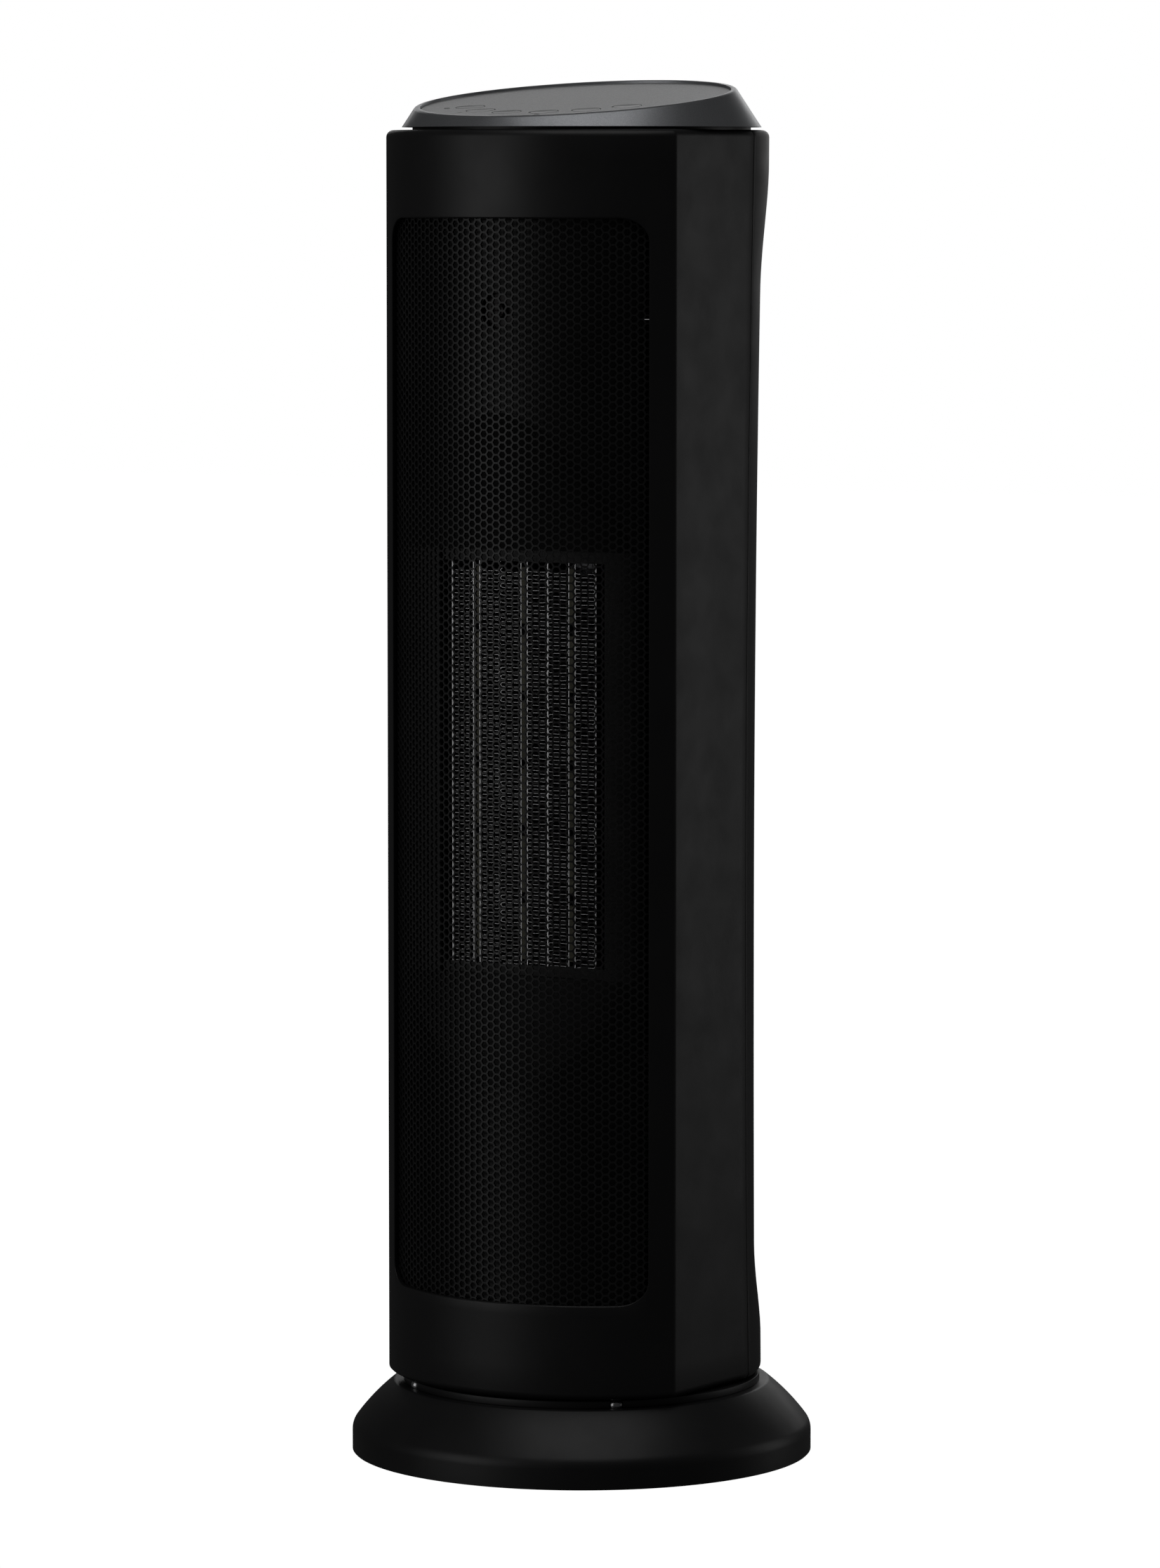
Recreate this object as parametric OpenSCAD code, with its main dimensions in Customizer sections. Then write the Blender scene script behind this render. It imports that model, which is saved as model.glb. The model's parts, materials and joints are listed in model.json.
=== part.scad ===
// Oscillating ceramic tower heater: a round base, a swivelling tower with a
// curved front grille, a ceramic heating core with a crossflow blower behind
// it, and a sloping control cap with six push buttons.
// Millimetres. +Z is up, the front faces -Y, and the origin is the point on
// the floor that the swivel axis passes through.

/* [Base] */
// Diameter of the round base
base_d = 196.5; // [186:0.5:240]
// Height of the base's flat top above the floor
base_h = 31.5; // [27:0.5:40]
// Height of the upright part of the rim
rim_h = 9.8; // [8:0.2:13]
// Radius between the rim and the slope
rim_r = 8; // [5:0.5:10]
// How far the slope bulges from a straight line
slope_bulge = 0.8; // [0:0.1:2]
// Wall of the base cover
base_wall = 2.6; // [2:0.1:3.5]
// Height of the cover's lower edge above the floor
base_lift = 1.2; // [0.8:0.1:2]
// Thickness of the plate that closes the base
plate_t = 2.6; // [2:0.1:4]
// Diameter of a rubber foot
foot_d = 16; // [10:1:20]

/* [Swivel] */
// Diameter of the ring that carries the balls
ring_d = 152.4; // [140:0.2:160]
// Height of the ring above the base's flat top
ring_h = 3.1; // [2:0.1:4]
// Diameter of a ball
ball_d = 6; // [5:0.5:7]
// Angle of each ball from the front or the back
ball_angle = 40; // [30:1:50]
// Diameter of the post that the tower turns on
spindle_d = 36; // [30:1:42]
// Diameter of the wire way through the post
spindle_bore = 20; // [14:1:22]
// Radial clearance between the post and its bush
swivel_fit = 0.06; // [0.03:0.01:0.1]
// Size of the gear teeth
gear_module = 1; // [0.8:0.1:1.2]
// Teeth that a full fixed gear would have
gear_teeth = 60; // [56:2:70]
// Teeth of the pinion
pinion_teeth = 15; // [14:1:18]
// Thickness of both gears
gear_t = 6; // [4:0.5:8]

/* [Tower] */
// Height of the tower's body, without its cap
body_h = 528.5; // [500:0.5:640]
// Gap between the ball ring and the tower
body_gap = 0.7; // [0.5:0.1:1.5]
// Width of the front face from edge to edge
face_w = 138.8; // [132:0.2:144]
// Width of the body across its two side seams
body_w = 150.8; // [148:0.2:160]
// Radius of the curved front face
face_r = 88.5; // [84:0.5:100]
// Distance from the axis to the front of the face
face_reach = 78.4; // [74:0.2:86]
// Distance from the axis back to the side seams
seam_reach = 10.4; // [6:0.2:14]
// Wall of the front and rear shells
wall = 2.5; // [2:0.1:3]
// Radius of the shells' top and bottom edges
edge_r = 3; // [2:0.1:4]

/* [Grille] */
// Width of the grille opening, seen from the front
grille_w = 122.6; // [100:0.2:124]
// Height of the border below the grille opening
grille_low = 40.1; // [30:0.1:60]
// Height of the border above the grille opening
grille_high = 36.7; // [30:0.1:60]
// Corner radius of the grille opening
grille_corner = 9.5; // [5:0.5:15]
// Thickness of the hexagon mesh
mesh_t = 1; // [0.6:0.1:1.4]
// How far the mesh reaches behind the border
mesh_lap = 3.4; // [2:0.1:3.6]
// Thickness of the frame that clamps the mesh
frame_t = 2; // [1.5:0.1:2.5]

/* [Heating core] */
// Height of the heated part of the core
core_h = 169.5; // [140:0.5:200]
// Height of the core's lower end above the tower's bottom
core_low = 179.2; // [170:0.1:190]
// Depth of the core from front to back
core_depth = 15; // [12:0.5:18]
// Width of one corrugated fin column
fin_w = 9.45; // [8:0.05:10]
// Thickness of a ceramic stone
stone_t = 2.6; // [2:0.1:3]
// Length of a ceramic stone
stone_l = 23.5; // [20:0.5:26]
// Stones in each of the three strips
stone_count = 6; // [5:1:7]
// Thickness of an electrode strip
electrode_t = 0.4; // [0.3:0.1:0.6]

/* [Blower] */
// Diameter of the crossflow wheel
wheel_d = 60; // [50:1:64]
// Blades on the wheel
blade_count = 30; // [24:1:36]
// Diameter of the motor shaft
shaft_d = 6; // [5:0.5:8]
// Radial clearance between the shaft and its bushes
shaft_fit = 0.03; // [0.02:0.01:0.06]
// Diameter of the motor's rotor
rotor_d = 28; // [24:1:30]

/* [Cap and buttons] */
// Diameter of the cap where it meets the tower
cap_d = 151.8; // [148:0.2:156]
// Gap between the tower and the cap
cap_gap = 1.2; // [0.8:0.1:2]
// Height of the cap's rim at the front
cap_front_h = 4.1; // [3.6:0.1:6]
// Height of the cap's rim at the back
cap_rear_h = 20.7; // [18:0.1:24]
// How much the cap's side leans inwards for each millimetre of height
cap_lean = 0.65; // [0.5:0.01:0.75]
// Diameter of the control panel
panel_d = 130.6; // [124:0.2:131]
// Thickness of the control panel
panel_t = 2; // [1.5:0.1:2.5]
// Depth of the panel below the cap's rim
panel_drop = 1; // [0.6:0.1:1.4]
// Diameter of a push button
button_d = 12; // [10:0.5:13]
// Distance from the panel's centre to the buttons
button_r = 44.5; // [40:0.5:46]
// Angle between neighbouring buttons
button_step = 23; // [20:0.5:26]
// Travel of a push button
button_travel = 1; // [0.5:0.1:1.2]

/* [Hidden] */
$fn = 64;
eps = 0.01;
slack = 0.3;           // clearance between pieces that only sit side by side
hole_fit = 0.05;       // radial clearance round a screw's shank
screw_d = 3;
head_d = 5.6;
head_h = 2;

// Heights of the stack
base_top = base_h;
ring_top = base_top + ring_h;
body_z0 = ring_top + body_gap;
body_z1 = body_z0 + body_h;
floor_z = body_z0 + wall;          // underside of the tower's floor plate
floor_t = 3.5;
hub_top = floor_z + 10.7;
washer_t = 1.2;
gear_z = hub_top + slack + washer_t;
base_r = base_d / 2;
plate_top = base_lift + plate_t;

// Ball race
ball_r = ball_d / 2;
ball_rise = 0.35;                   // how far a ball enters the tower's groove
ball_z = body_z0 + ball_rise - ball_r;
ball_proud = 1.2;                   // how far a ball shows outside the ring
race_r = ring_d / 2 + ball_proud - ball_r;
groove_fit = 0.05;

// Gears
gear_r = gear_module * gear_teeth / 2;
pinion_r = gear_module * pinion_teeth / 2;
mesh_r = gear_r + pinion_r;
pinion_shaft_d = 7;
sector_half = 11;                   // teeth on each side of the middle one

// Body plan
face_cy = face_r - face_reach;
corner_y = face_cy - sqrt(pow(face_r, 2) - pow(face_w / 2, 2));
side_slope = (body_w - face_w) / 2 / (seam_reach - corner_y);
side_angle = atan(side_slope);

// The back bows in at the waist and swells out at both ends
waist_z = body_z0 + 0.38 * body_h;
low_swell_z = [body_z0 + 15, body_z0 + 56];
high_swell_z = [body_z1 - 70, body_z1 - 14];
waist_y = -6.3;
waist_bow = 3.9;
low_swell = 8.5;
high_swell = 9.6;

// Grille opening
open_z0 = body_z0 + grille_low;
open_z1 = body_z1 - grille_high;
open_zc = (open_z0 + open_z1) / 2;
open_h = open_z1 - open_z0;
mesh_r1 = face_r - wall;
mesh_r0 = mesh_r1 - mesh_t;
frame_r0 = mesh_r0 - frame_t;

// Heating core
core_z0 = body_z0 + core_low;
core_z1 = core_z0 + core_h;
core_y0 = -50;
core_y1 = core_y0 + core_depth;
end_h = 12;                         // height of each of the core's end frames
divider_t = 0.6;
unit_w = 2 * fin_w + stone_t + 2 * electrode_t + divider_t;
core_w = 3 * unit_w + divider_t;
window_w = core_w + 10;
window_z0 = core_z0 - 4.5;
window_z1 = core_z1 + 5;
guide_t = 2;
guide_r = frame_r0 - 0.1;
guide_w = grille_w + 3;
guide_h = open_h + 3;
funnel_low = 2.15;                  // fall of the lower funnel per millimetre of depth
funnel_high = 2.78;                 // rise of the upper funnel per millimetre of depth

// Blower and motor
shelf_t = 3;
shelf_z0 = core_z0 - end_h - shelf_t;
shelf_z1 = core_z1 + end_h;
duct_x = window_w / 2 - 3;
wheel_y = 22;
wheel_r = wheel_d / 2;
wheel_gap = 5.5;
wheel_z0 = shelf_z0 + shelf_t + wheel_gap;
wheel_z1 = shelf_z1 - wheel_gap;
shaft_r = shaft_d / 2;
stack_h = 20;
stack_z1 = shelf_z0 - 12;
stack_z0 = stack_z1 - stack_h;
bracket_gap = 2;
bracket_t = 2.5;
bush_r = shaft_r + 2.2;
bush_h = 7;
air_gap = 0.5;

// Cap frame: its origin is the middle of the rim, its Z leans back
cap_z = body_z1 + cap_gap;
cap_r = cap_d / 2;
rim_front_y = -(cap_r - cap_lean * cap_front_h);
rim_rear_y = cap_r - cap_lean * cap_rear_h;
rim_y = (rim_front_y + rim_rear_y) / 2;
rim_z = cap_z + (cap_front_h + cap_rear_h) / 2;
cap_tilt = atan((cap_rear_h - cap_front_h) / (rim_rear_y - rim_front_y));
deck_t = 2.2;
panel_top = -panel_drop;
deck_top = panel_top - panel_t;
deck_low = deck_top - deck_t;
lip_r = 71.4;
lip_t = 2;
button_gap = 0.25;
button_low = -9;
switch_top = button_low - button_travel - 0.1;
board_t = 1.6;
board_top = -14;
board_r = 50;
cap_boss_r = 62;

// ---------------------------------------------------------------- helpers

function arc_points(centre, r, a0, a1, n) =
    [for (i = [0 : n]) let (a = a0 + (a1 - a0) * i / n) centre + r * [cos(a), sin(a)]];

function smooth_step(t) = let (u = min(1, max(0, t))) u * u * (3 - 2 * u);

// A ring of copies of the child at radius r
module around(r, angles) {
    for (a = angles)
        rotate([0, 0, a])
            translate([r, 0, 0])
                children();
}

// Flat rectangle with round corners, centred
module round_rect(w, h, r) {
    square([w - 2 * r, h], center = true);
    square([w, h - 2 * r], center = true);
    for (x = [-1, 1], y = [-1, 1])
        translate([x * (w / 2 - r), y * (h / 2 - r)])
            circle(r = r);
}

// The child, drawn flat as X and Z, pushed backwards from y0 to y1
module push_back(y0, y1) {
    translate([0, y1, 0])
        rotate([90, 0, 0])
            linear_extrude(height = y1 - y0)
                children();
}

// The child, drawn flat as Y and Z, made w wide across X
module across(w) {
    rotate([90, 0, 90])
        linear_extrude(height = w, center = true)
            children();
}

module tube(r_out, r_in, z0, z1) {
    translate([0, 0, z0])
        difference() {
            cylinder(r = r_out, h = z1 - z0);
            translate([0, 0, -1])
                cylinder(r = r_in, h = z1 - z0 + 2);
        }
}

// Screw pointing down, its head's underside at the origin
module screw(l) {
    translate([0, 0, -l])
        cylinder(d = screw_d, h = l + eps, $fn = 24);
    cylinder(d = head_d, h = head_h, $fn = 24);
}

// Hole for a screw's shank, l deep below the origin
module screw_hole(l) {
    translate([0, 0, -l])
        cylinder(r = screw_d / 2 + hole_fit, h = l + 1, $fn = 24);
}

// Closed solid through a list of rings, lowest first, each counter-clockwise
module loft(rings) {
    n = len(rings[0]);
    m = len(rings);
    sides = [for (j = [0 : m - 2], i = [0 : n - 1])
        let (k = (i + 1) % n, a = j * n, b = a + n)
            each [[a + i, b + i, b + k], [a + i, b + k, a + k]]];
    polyhedron(
        points = [for (ring = rings) each ring],
        faces = concat(
            [[for (i = [0 : n - 1]) i]],
            [[for (i = [0 : n - 1]) m * n - 1 - i]],
            sides));
}

// ------------------------------------------------------------------- base

// Outline of the base, drawn e inside its skin
function base_outline(e) =
    let (
        centre = [base_r - rim_r, rim_h],
        lean = 38,
        foot = centre + (rim_r - e) * [cos(lean), sin(lean)],
        crest = [ring_d / 2 + 3.8 - 0.45 * e, base_top - e],
        run = crest - foot,
        out = [run[1], -run[0]] / norm(run))
    concat(
        [[0, base_lift - (e > 0 ? 1 : 0)], [base_r - e, base_lift - (e > 0 ? 1 : 0)]],
        arc_points(centre, rim_r - e, 0, lean, 6),
        [for (i = [1 : 6]) let (t = i / 6) foot + t * run + 4 * slope_bulge * t * (1 - t) * out],
        [[0, base_top - e]]);

base_screw_r = base_r - base_wall - 9;
base_screw_angles = [0 : 60 : 300];
base_screw_l = 8;
boss_d = 8;
spindle_flange_r = spindle_d / 2 + 12;
spindle_flange_t = ring_h - 0.1;
spindle_screw_r = spindle_d / 2 + 7;
spindle_screw_angles = [45 : 90 : 315];
ball_angles = [-90 + ball_angle, -90 - ball_angle, 90 + ball_angle, 90 - ball_angle];
gland_z = 8;
gland_r = 5.5;
tip_x = -42;
tip_y = -52;
tip_d = 6;
tip_travel = 4;
tip_collar_t = 2;
tip_collar_z = plate_top + tip_travel + 0.1;
tip_roof_z = 22;
tip_roof_t = 4;
tip_fit = 0.1;                      // radial clearance round the plunger
tip_tower_d = 16;
tip_bore_d = 11;

module ball_seats() {
    around(race_r, ball_angles)
        translate([0, 0, ball_z - ball_r])
            cylinder(r = ball_r + 0.1, h = 2 * ball_d, $fn = 48);
}

module base_cover() {
    color([0.03, 0.03, 0.032])
        difference() {
            union() {
                difference() {
                    rotate_extrude($fn = 128)
                        polygon(base_outline(0));
                    rotate_extrude($fn = 128)
                        polygon(base_outline(base_wall));
                }
                around(race_r - 1, ball_angles)
                    translate([0, 0, base_top - base_wall - 3])
                        cylinder(r = ball_r + 2, h = base_wall + 3, $fn = 32);
                intersection() {
                    around(base_screw_r, base_screw_angles)
                        translate([0, 0, plate_top])
                            cylinder(d = boss_d, h = base_top, $fn = 32);
                    rotate_extrude($fn = 128)
                        polygon(base_outline(base_wall / 2));
                }
                around(spindle_screw_r, spindle_screw_angles)
                    translate([0, 0, base_top - 10])
                        cylinder(d = boss_d, h = 9, $fn = 32);
            }
            ball_seats();
            around(base_screw_r, base_screw_angles)
                translate([0, 0, plate_top - 1])
                    cylinder(r = screw_d / 2 + hole_fit, h = 9, $fn = 24);
            around(spindle_screw_r, spindle_screw_angles)
                translate([0, 0, base_top])
                    screw_hole(9);
            translate([0, 0, base_top - 6])
                cylinder(r = spindle_bore / 2, h = 8);
            translate([0, base_r, gland_z])
                rotate([90, 0, 0])
                    cylinder(r = gland_r, h = 20, $fn = 48);
        }
}

module base_plate() {
    color([0.05, 0.05, 0.052])
        difference() {
            union() {
                translate([0, 0, base_lift])
                    cylinder(r = base_r - base_wall - slack, h = plate_t, $fn = 128);
                translate([tip_x, tip_y, plate_top - eps])
                    tip_tower();
            }
            around(base_r - 24, [0 : 60 : 300])
                cylinder(d = foot_d, h = base_lift + 1.4, $fn = 48);
            around(base_screw_r, base_screw_angles)
                cylinder(r = screw_d / 2 + hole_fit, h = 12, $fn = 24);
            around(base_screw_r, base_screw_angles)
                cylinder(r = head_d / 2 + hole_fit, h = base_lift + 1.4, $fn = 24);
            translate([tip_x, tip_y, 0])
                cylinder(r = tip_d / 2 + tip_fit, h = 12, $fn = 48);
            translate([0, base_r - 14, gland_z])
                rotate([90, 0, 0])
                    cylinder(r = gland_r, h = 30, $fn = 48, center = true);
        }
}

// Guide that keeps the tip-over plunger upright and holds its spring
module tip_tower() {
    difference() {
        cylinder(d = tip_tower_d, h = tip_roof_z - plate_top, $fn = 48);
        translate([0, 0, -1])
            cylinder(d = tip_bore_d, h = tip_roof_z - tip_roof_t - plate_top + 1, $fn = 48);
        translate([0, 0, tip_roof_z - plate_top - tip_roof_t - 1])
            cylinder(r = tip_d / 2 + tip_fit, h = tip_roof_t + 2, $fn = 48);
    }
}

module rubber_feet() {
    color([0.09, 0.09, 0.09])
        around(base_r - 24, [0 : 60 : 300])
            cylinder(d = foot_d - 0.1, h = base_lift + 1.4, $fn = 48);
}

module base_screws() {
    color("silver")
        around(base_screw_r, base_screw_angles)
            translate([0, 0, base_lift + 1.4])
                mirror([0, 0, 1])
                    screw(base_screw_l);
}

module swivel_ring() {
    color([0.06, 0.06, 0.062])
        difference() {
            tube(ring_d / 2, ring_d / 2 - 14, base_top, ring_top);
            ball_seats();
        }
}

module swivel_balls() {
    color("silver")
        around(race_r, ball_angles)
            translate([0, 0, ball_z])
                sphere(r = ball_r, $fn = 48);
}

module spindle() {
    color([0.75, 0.75, 0.73])
        difference() {
            union() {
                translate([0, 0, base_top])
                    cylinder(r = spindle_flange_r, h = spindle_flange_t);
                translate([0, 0, base_top])
                    cylinder(d = spindle_d, h = gear_z - base_top);
            }
            translate([0, 0, base_top - 1])
                cylinder(d = spindle_bore, h = 60);
            around(spindle_screw_r, spindle_screw_angles)
                translate([0, 0, base_top + spindle_flange_t - head_h])
                    screw_hole(6);
            around(spindle_screw_r, spindle_screw_angles)
                translate([0, 0, base_top + spindle_flange_t - head_h])
                    cylinder(r = head_d / 2 + hole_fit, h = 10, $fn = 24);
            around(gear_screw_r, gear_screw_angles)
                translate([0, 0, gear_z])
                    screw_hole(10);
        }
}

gear_screw_r = (spindle_d + spindle_bore) / 4;
gear_screw_angles = [-90 : 120 : 150];

module spindle_screws() {
    color("silver") {
        around(spindle_screw_r, spindle_screw_angles)
            translate([0, 0, base_top + spindle_flange_t - head_h])
                screw(9);
        around(gear_screw_r, gear_screw_angles)
            translate([0, 0, gear_z + gear_t])
                screw(gear_t + 9);
    }
}

// Involute gear geometry, angles in degrees
pressure = 20;
backlash = 0.12;

function involute(a) = tan(a) * 180 / PI - a;

// Half the angle of a tooth at radius q, for pitch radius r and n teeth
function tooth_half(q, r, n) =
    let (b = r * cos(pressure))
    90 / n - backlash / 2 / r * 180 / PI + involute(pressure)
        - (q > b ? involute(acos(b / q)) : 0);

// Points of one tooth at angle a, from its right root over its tip
function tooth(a, r, n, add, ded) =
    let (
        b = r * cos(pressure),
        qs = [r - ded, max(b, r - ded + 0.15), r - 0.3, r, r + add / 2, r + add],
        m = len(qs) - 1)
    concat(
        [for (i = [0 : m]) let (h = a - tooth_half(qs[i], r, n)) qs[i] * [cos(h), sin(h)]],
        [for (i = [m : -1 : 0]) let (h = a + tooth_half(qs[i], r, n)) qs[i] * [cos(h), sin(h)]]);

// Points of count teeth, the first at angle a0
function teeth(a0, count, r, n, add, ded) =
    [for (i = [0 : count - 1]) each tooth(a0 + i * 360 / n, r, n, add, ded)];

gear_ded = 1.2 * gear_module;

module swivel_gear() {
    half = sector_half * 360 / gear_teeth;
    color([0.88, 0.87, 0.82])
        difference() {
            translate([0, 0, gear_z])
                linear_extrude(height = gear_t)
                    polygon(concat(
                        teeth(90 - half, 2 * sector_half + 1, gear_r, gear_teeth,
                            0.8 * gear_module, gear_ded),
                        arc_points([0, 0], gear_r - gear_ded, 93 + half, 447 - half, 96)));
            translate([0, 0, gear_z - 1])
                cylinder(d = spindle_bore, h = gear_t + 2);
            around(gear_screw_r, gear_screw_angles)
                translate([0, 0, gear_z + gear_t])
                    screw_hole(gear_t + 1);
        }
}

module thrust_washer() {
    color("white")
        tube(spindle_d / 2 + 8, spindle_d / 2 + 0.05, gear_z - washer_t, gear_z);
}

module tip_switch() {
    color([0.1, 0.1, 0.12])
        translate([tip_x - 3.2, tip_y + 9, plate_top]) {
            cube([6.4, 20, 13]);
            translate([0, 2, 13 - eps])
                cube([6.4, 3, 4]);
        }
}

module cord_gland() {
    color([0.08, 0.08, 0.08])
        translate([0, base_r - 0.25, gland_z])
            rotate([90, 0, 0])
                difference() {
                    cylinder(r = gland_r - 0.05, h = 16, $fn = 48);
                    translate([0, 0, -1])
                        cylinder(d = 7.2, h = 18, $fn = 48);
                    translate([0, 0, 8])
                        difference() {
                            cylinder(r = gland_r + 1, h = 3, $fn = 48);
                            translate([0, 0, -1])
                                cylinder(r = gland_r - 1, h = 5, $fn = 48);
                        }
                }
}

module tip_plunger() {
    color([0.85, 0.3, 0.1])
        translate([tip_x, tip_y, 0]) {
            translate([0, 0, 1])
                cylinder(d = tip_d, h = tip_roof_z + 3 - 1, $fn = 48);
            cylinder(r1 = 2, r2 = tip_d / 2, h = 1, $fn = 48);
            translate([0, 0, tip_collar_z])
                cylinder(d = 9, h = tip_collar_t, $fn = 48);
        }
}

// Helical spring: a hexagonal wire swept round the plunger
spring_r = 4.2;
spring_wire = 0.35;
spring_turns = 6;
spring_z0 = tip_collar_z + tip_collar_t + spring_wire;
spring_z1 = tip_roof_z - tip_roof_t - spring_wire;

module tip_spring() {
    steps = spring_turns * 16;
    color("silver")
        translate([tip_x, tip_y, 0])
            loft([for (i = [0 : steps])
                let (a = 360 * i / 16, z = spring_z0 + (spring_z1 - spring_z0) * i / steps)
                    [for (k = [0 : 5])
                        let (b = -60 * k, r = spring_r + spring_wire * cos(b))
                            [r * cos(a), r * sin(a), z + spring_wire * sin(b)]]]);
}

// ------------------------------------------------------------ tower shells

// Y of the side seam at height z: it bows forward at the waist
function seam_y(z) =
    let (t = (z - waist_z) / (z > waist_z ? body_z1 - waist_z : waist_z - body_z0))
    seam_reach - 2.9 + t * t * (z > waist_z ? 5.2 : 2.9);

// Y of the centre of the back's curve at height z
function spine_y(z) =
    let (
        up = high_swell_z,
        low = low_swell_z,
        t = (min(up[0], max(low[0], z)) - waist_z) / (up[0] - waist_z))
    waist_y + waist_bow * t * abs(t) * (t > 0 ? 1 : 0.2)
        + high_swell * smooth_step((z - up[0]) / (up[1] - up[0]))
        + low_swell * smooth_step((low[1] - z) / (low[1] - low[0]));

// X of the side face at y
function side_x(y) = face_w / 2 + (y - corner_y) * side_slope;

// Ring of the back at height z, e inside its skin, started ahead of the seam
back_steps = 40;
function back_ring(z, e, ahead) =
    let (
        ys = seam_y(z),
        yc = spine_y(z),
        r = norm([side_x(ys), ys - yc]) - e,
        a0 = asin((ys - ahead - yc) / r))
    [for (i = [0 : back_steps])
        let (a = a0 + (180 - 2 * a0) * i / back_steps)
            [r * cos(a), yc + r * sin(a), z]];

// Heights at which the bowed surfaces are cut, between z0 and z1
function bow_levels(z0, z1) = concat(
    [for (i = [0 : 5]) z0 + (low_swell_z[1] - z0) * i / 6],
    [for (i = [0 : 7]) low_swell_z[1] + (high_swell_z[0] - low_swell_z[1]) * i / 8],
    [for (i = [0 : 7]) high_swell_z[0] + (z1 - high_swell_z[0]) * i / 8],
    [z1]);

// [height, inset] of each ring of the skin, rounded at both ends
skin_levels = concat(
    [for (a = [90 : -30 : 30])
        [body_z0 + edge_r * (1 - sin(a)), edge_r * (1 - cos(a))]],
    [for (z = bow_levels(body_z0 + edge_r, body_z1 - edge_r)) [z, 0]],
    [for (a = [30 : 30 : 90])
        [body_z1 - edge_r * (1 - sin(a)), edge_r * (1 - cos(a))]]);

// Flat outline of the front shell, e inside its skin
module front_plan(e) {
    x0 = side_x(-130) - e / cos(side_angle);
    x1 = side_x(60) - e / cos(side_angle);
    intersection() {
        translate([0, face_cy])
            circle(r = face_r - e, $fn = 128);
        polygon([[x0, -130], [x1, 60], [-x1, 60], [-x0, -130]]);
    }
}

// Everything ahead of the bowed seam
module ahead_of_seam() {
    levels = bow_levels(body_z0 + edge_r, body_z1 - edge_r);
    across(200)
        polygon(concat(
            [[-150, body_z0 - 20], [seam_y(levels[0]), body_z0 - 20]],
            [for (z = levels) [seam_y(z), z]],
            [[seam_y(levels[len(levels) - 1]), body_z1 + 20], [-150, body_z1 + 20]]));
}

// Body of revolution that rounds the front's top and bottom edges
module face_envelope() {
    translate([0, face_cy, 0])
        rotate_extrude($fn = 128) {
            translate([0, body_z0])
                square([face_r - edge_r, body_h]);
            translate([0, body_z0 + edge_r])
                square([face_r, body_h - 2 * edge_r]);
            for (z = [body_z0 + edge_r, body_z1 - edge_r])
                translate([face_r - edge_r, z])
                    circle(r = edge_r, $fn = 32);
        }
}

lip_z = cap_z + 0.2;
floor_open_r = 60;
floor_screw_r = 65;
floor_screw_angles = [15 : 60 : 315];
ear_angles = [45 : 90 : 315];
housing_screw_z = [body_z0 + 22, body_z0 + 130, body_z1 - 130, body_z1 - 22];
housing_screw_x = 62;
rear_post_d = 9;

// Openings in the shells' floor and ceiling, shared by the front and the back
module end_openings() {
    translate([0, 0, body_z0 - 1])
        cylinder(r = floor_open_r, h = wall + 2);
    difference() {
        translate([0, 0, body_z1 - wall - 1])
            cylinder(r = lip_r - lip_t - 0.5, h = wall + 4);
        around(cap_boss_r, ear_angles)
            translate([0, 0, body_z1 - wall - 2])
                translate([-5, -7, 0])
                    cube([20, 14, wall + 2]);
    }
    around(floor_screw_r, floor_screw_angles)
        translate([0, 0, floor_z])
            screw_hole(2);
    around(cap_boss_r, ear_angles)
        translate([0, 0, body_z1 + 0.5])
            screw_hole(wall + 2);
    rotate_extrude($fn = 96)
        translate([race_r, ball_z])
            circle(r = ball_r + groove_fit, $fn = 32);
}

module cap_lip() {
    tube(lip_r, lip_r - lip_t, body_z1 - 1, lip_z);
}

module front_housing() {
    color([0.02, 0.02, 0.022])
        difference() {
            union() {
                difference() {
                    intersection() {
                        translate([0, 0, body_z0])
                            linear_extrude(height = body_h)
                                front_plan(0);
                        face_envelope();
                    }
                    translate([0, 0, floor_z])
                        linear_extrude(height = body_h - 2 * wall)
                            front_plan(wall);
                }
                intersection() {
                    translate([0, 0, body_z0])
                        linear_extrude(height = body_h)
                            front_plan(0.5);
                    shell_bosses();
                }
                intersection() {
                    cap_lip();
                    ahead_of_seam();
                }
            }
            push_back(-110, -42)
                translate([0, open_zc])
                    round_rect(grille_w, open_h, grille_corner);
            end_openings();
            difference() {
                translate([-100, -100, body_z0 - 30])
                    cube([200, 220, body_h + 60]);
                ahead_of_seam();
            }
            for (z = housing_screw_z, s = [-1, 1])
                translate([s * housing_screw_x, seam_y(z) + 1, z])
                    rotate([-90, 0, 0])
                        screw_hole(14);
        }
}

// Posts on the front shell's side walls that take the rear shell's screws,
// and the ledges that carry the two shelves
module shell_bosses() {
    for (z = housing_screw_z, s = [-1, 1])
        translate([s * (housing_screw_x + 5), seam_y(z) - 7, z])
            cube([18, 14, 8], center = true);
    for (z = [shelf_z0 - 4, shelf_z1 - 4], s = [-1, 1])
        translate([s * 70, -22, z + 2])
            cube([16, 10, 4], center = true);
}

vent_w = 92;
vent_z0 = body_z0 + 120;
vent_z1 = body_z1 - 160;
vent_lap = 4;
cup_w = 96;
cup_h = 38;
cup_depth = 30;
cup_wall = 2.2;
cup_zc = body_z1 - 100;

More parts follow.
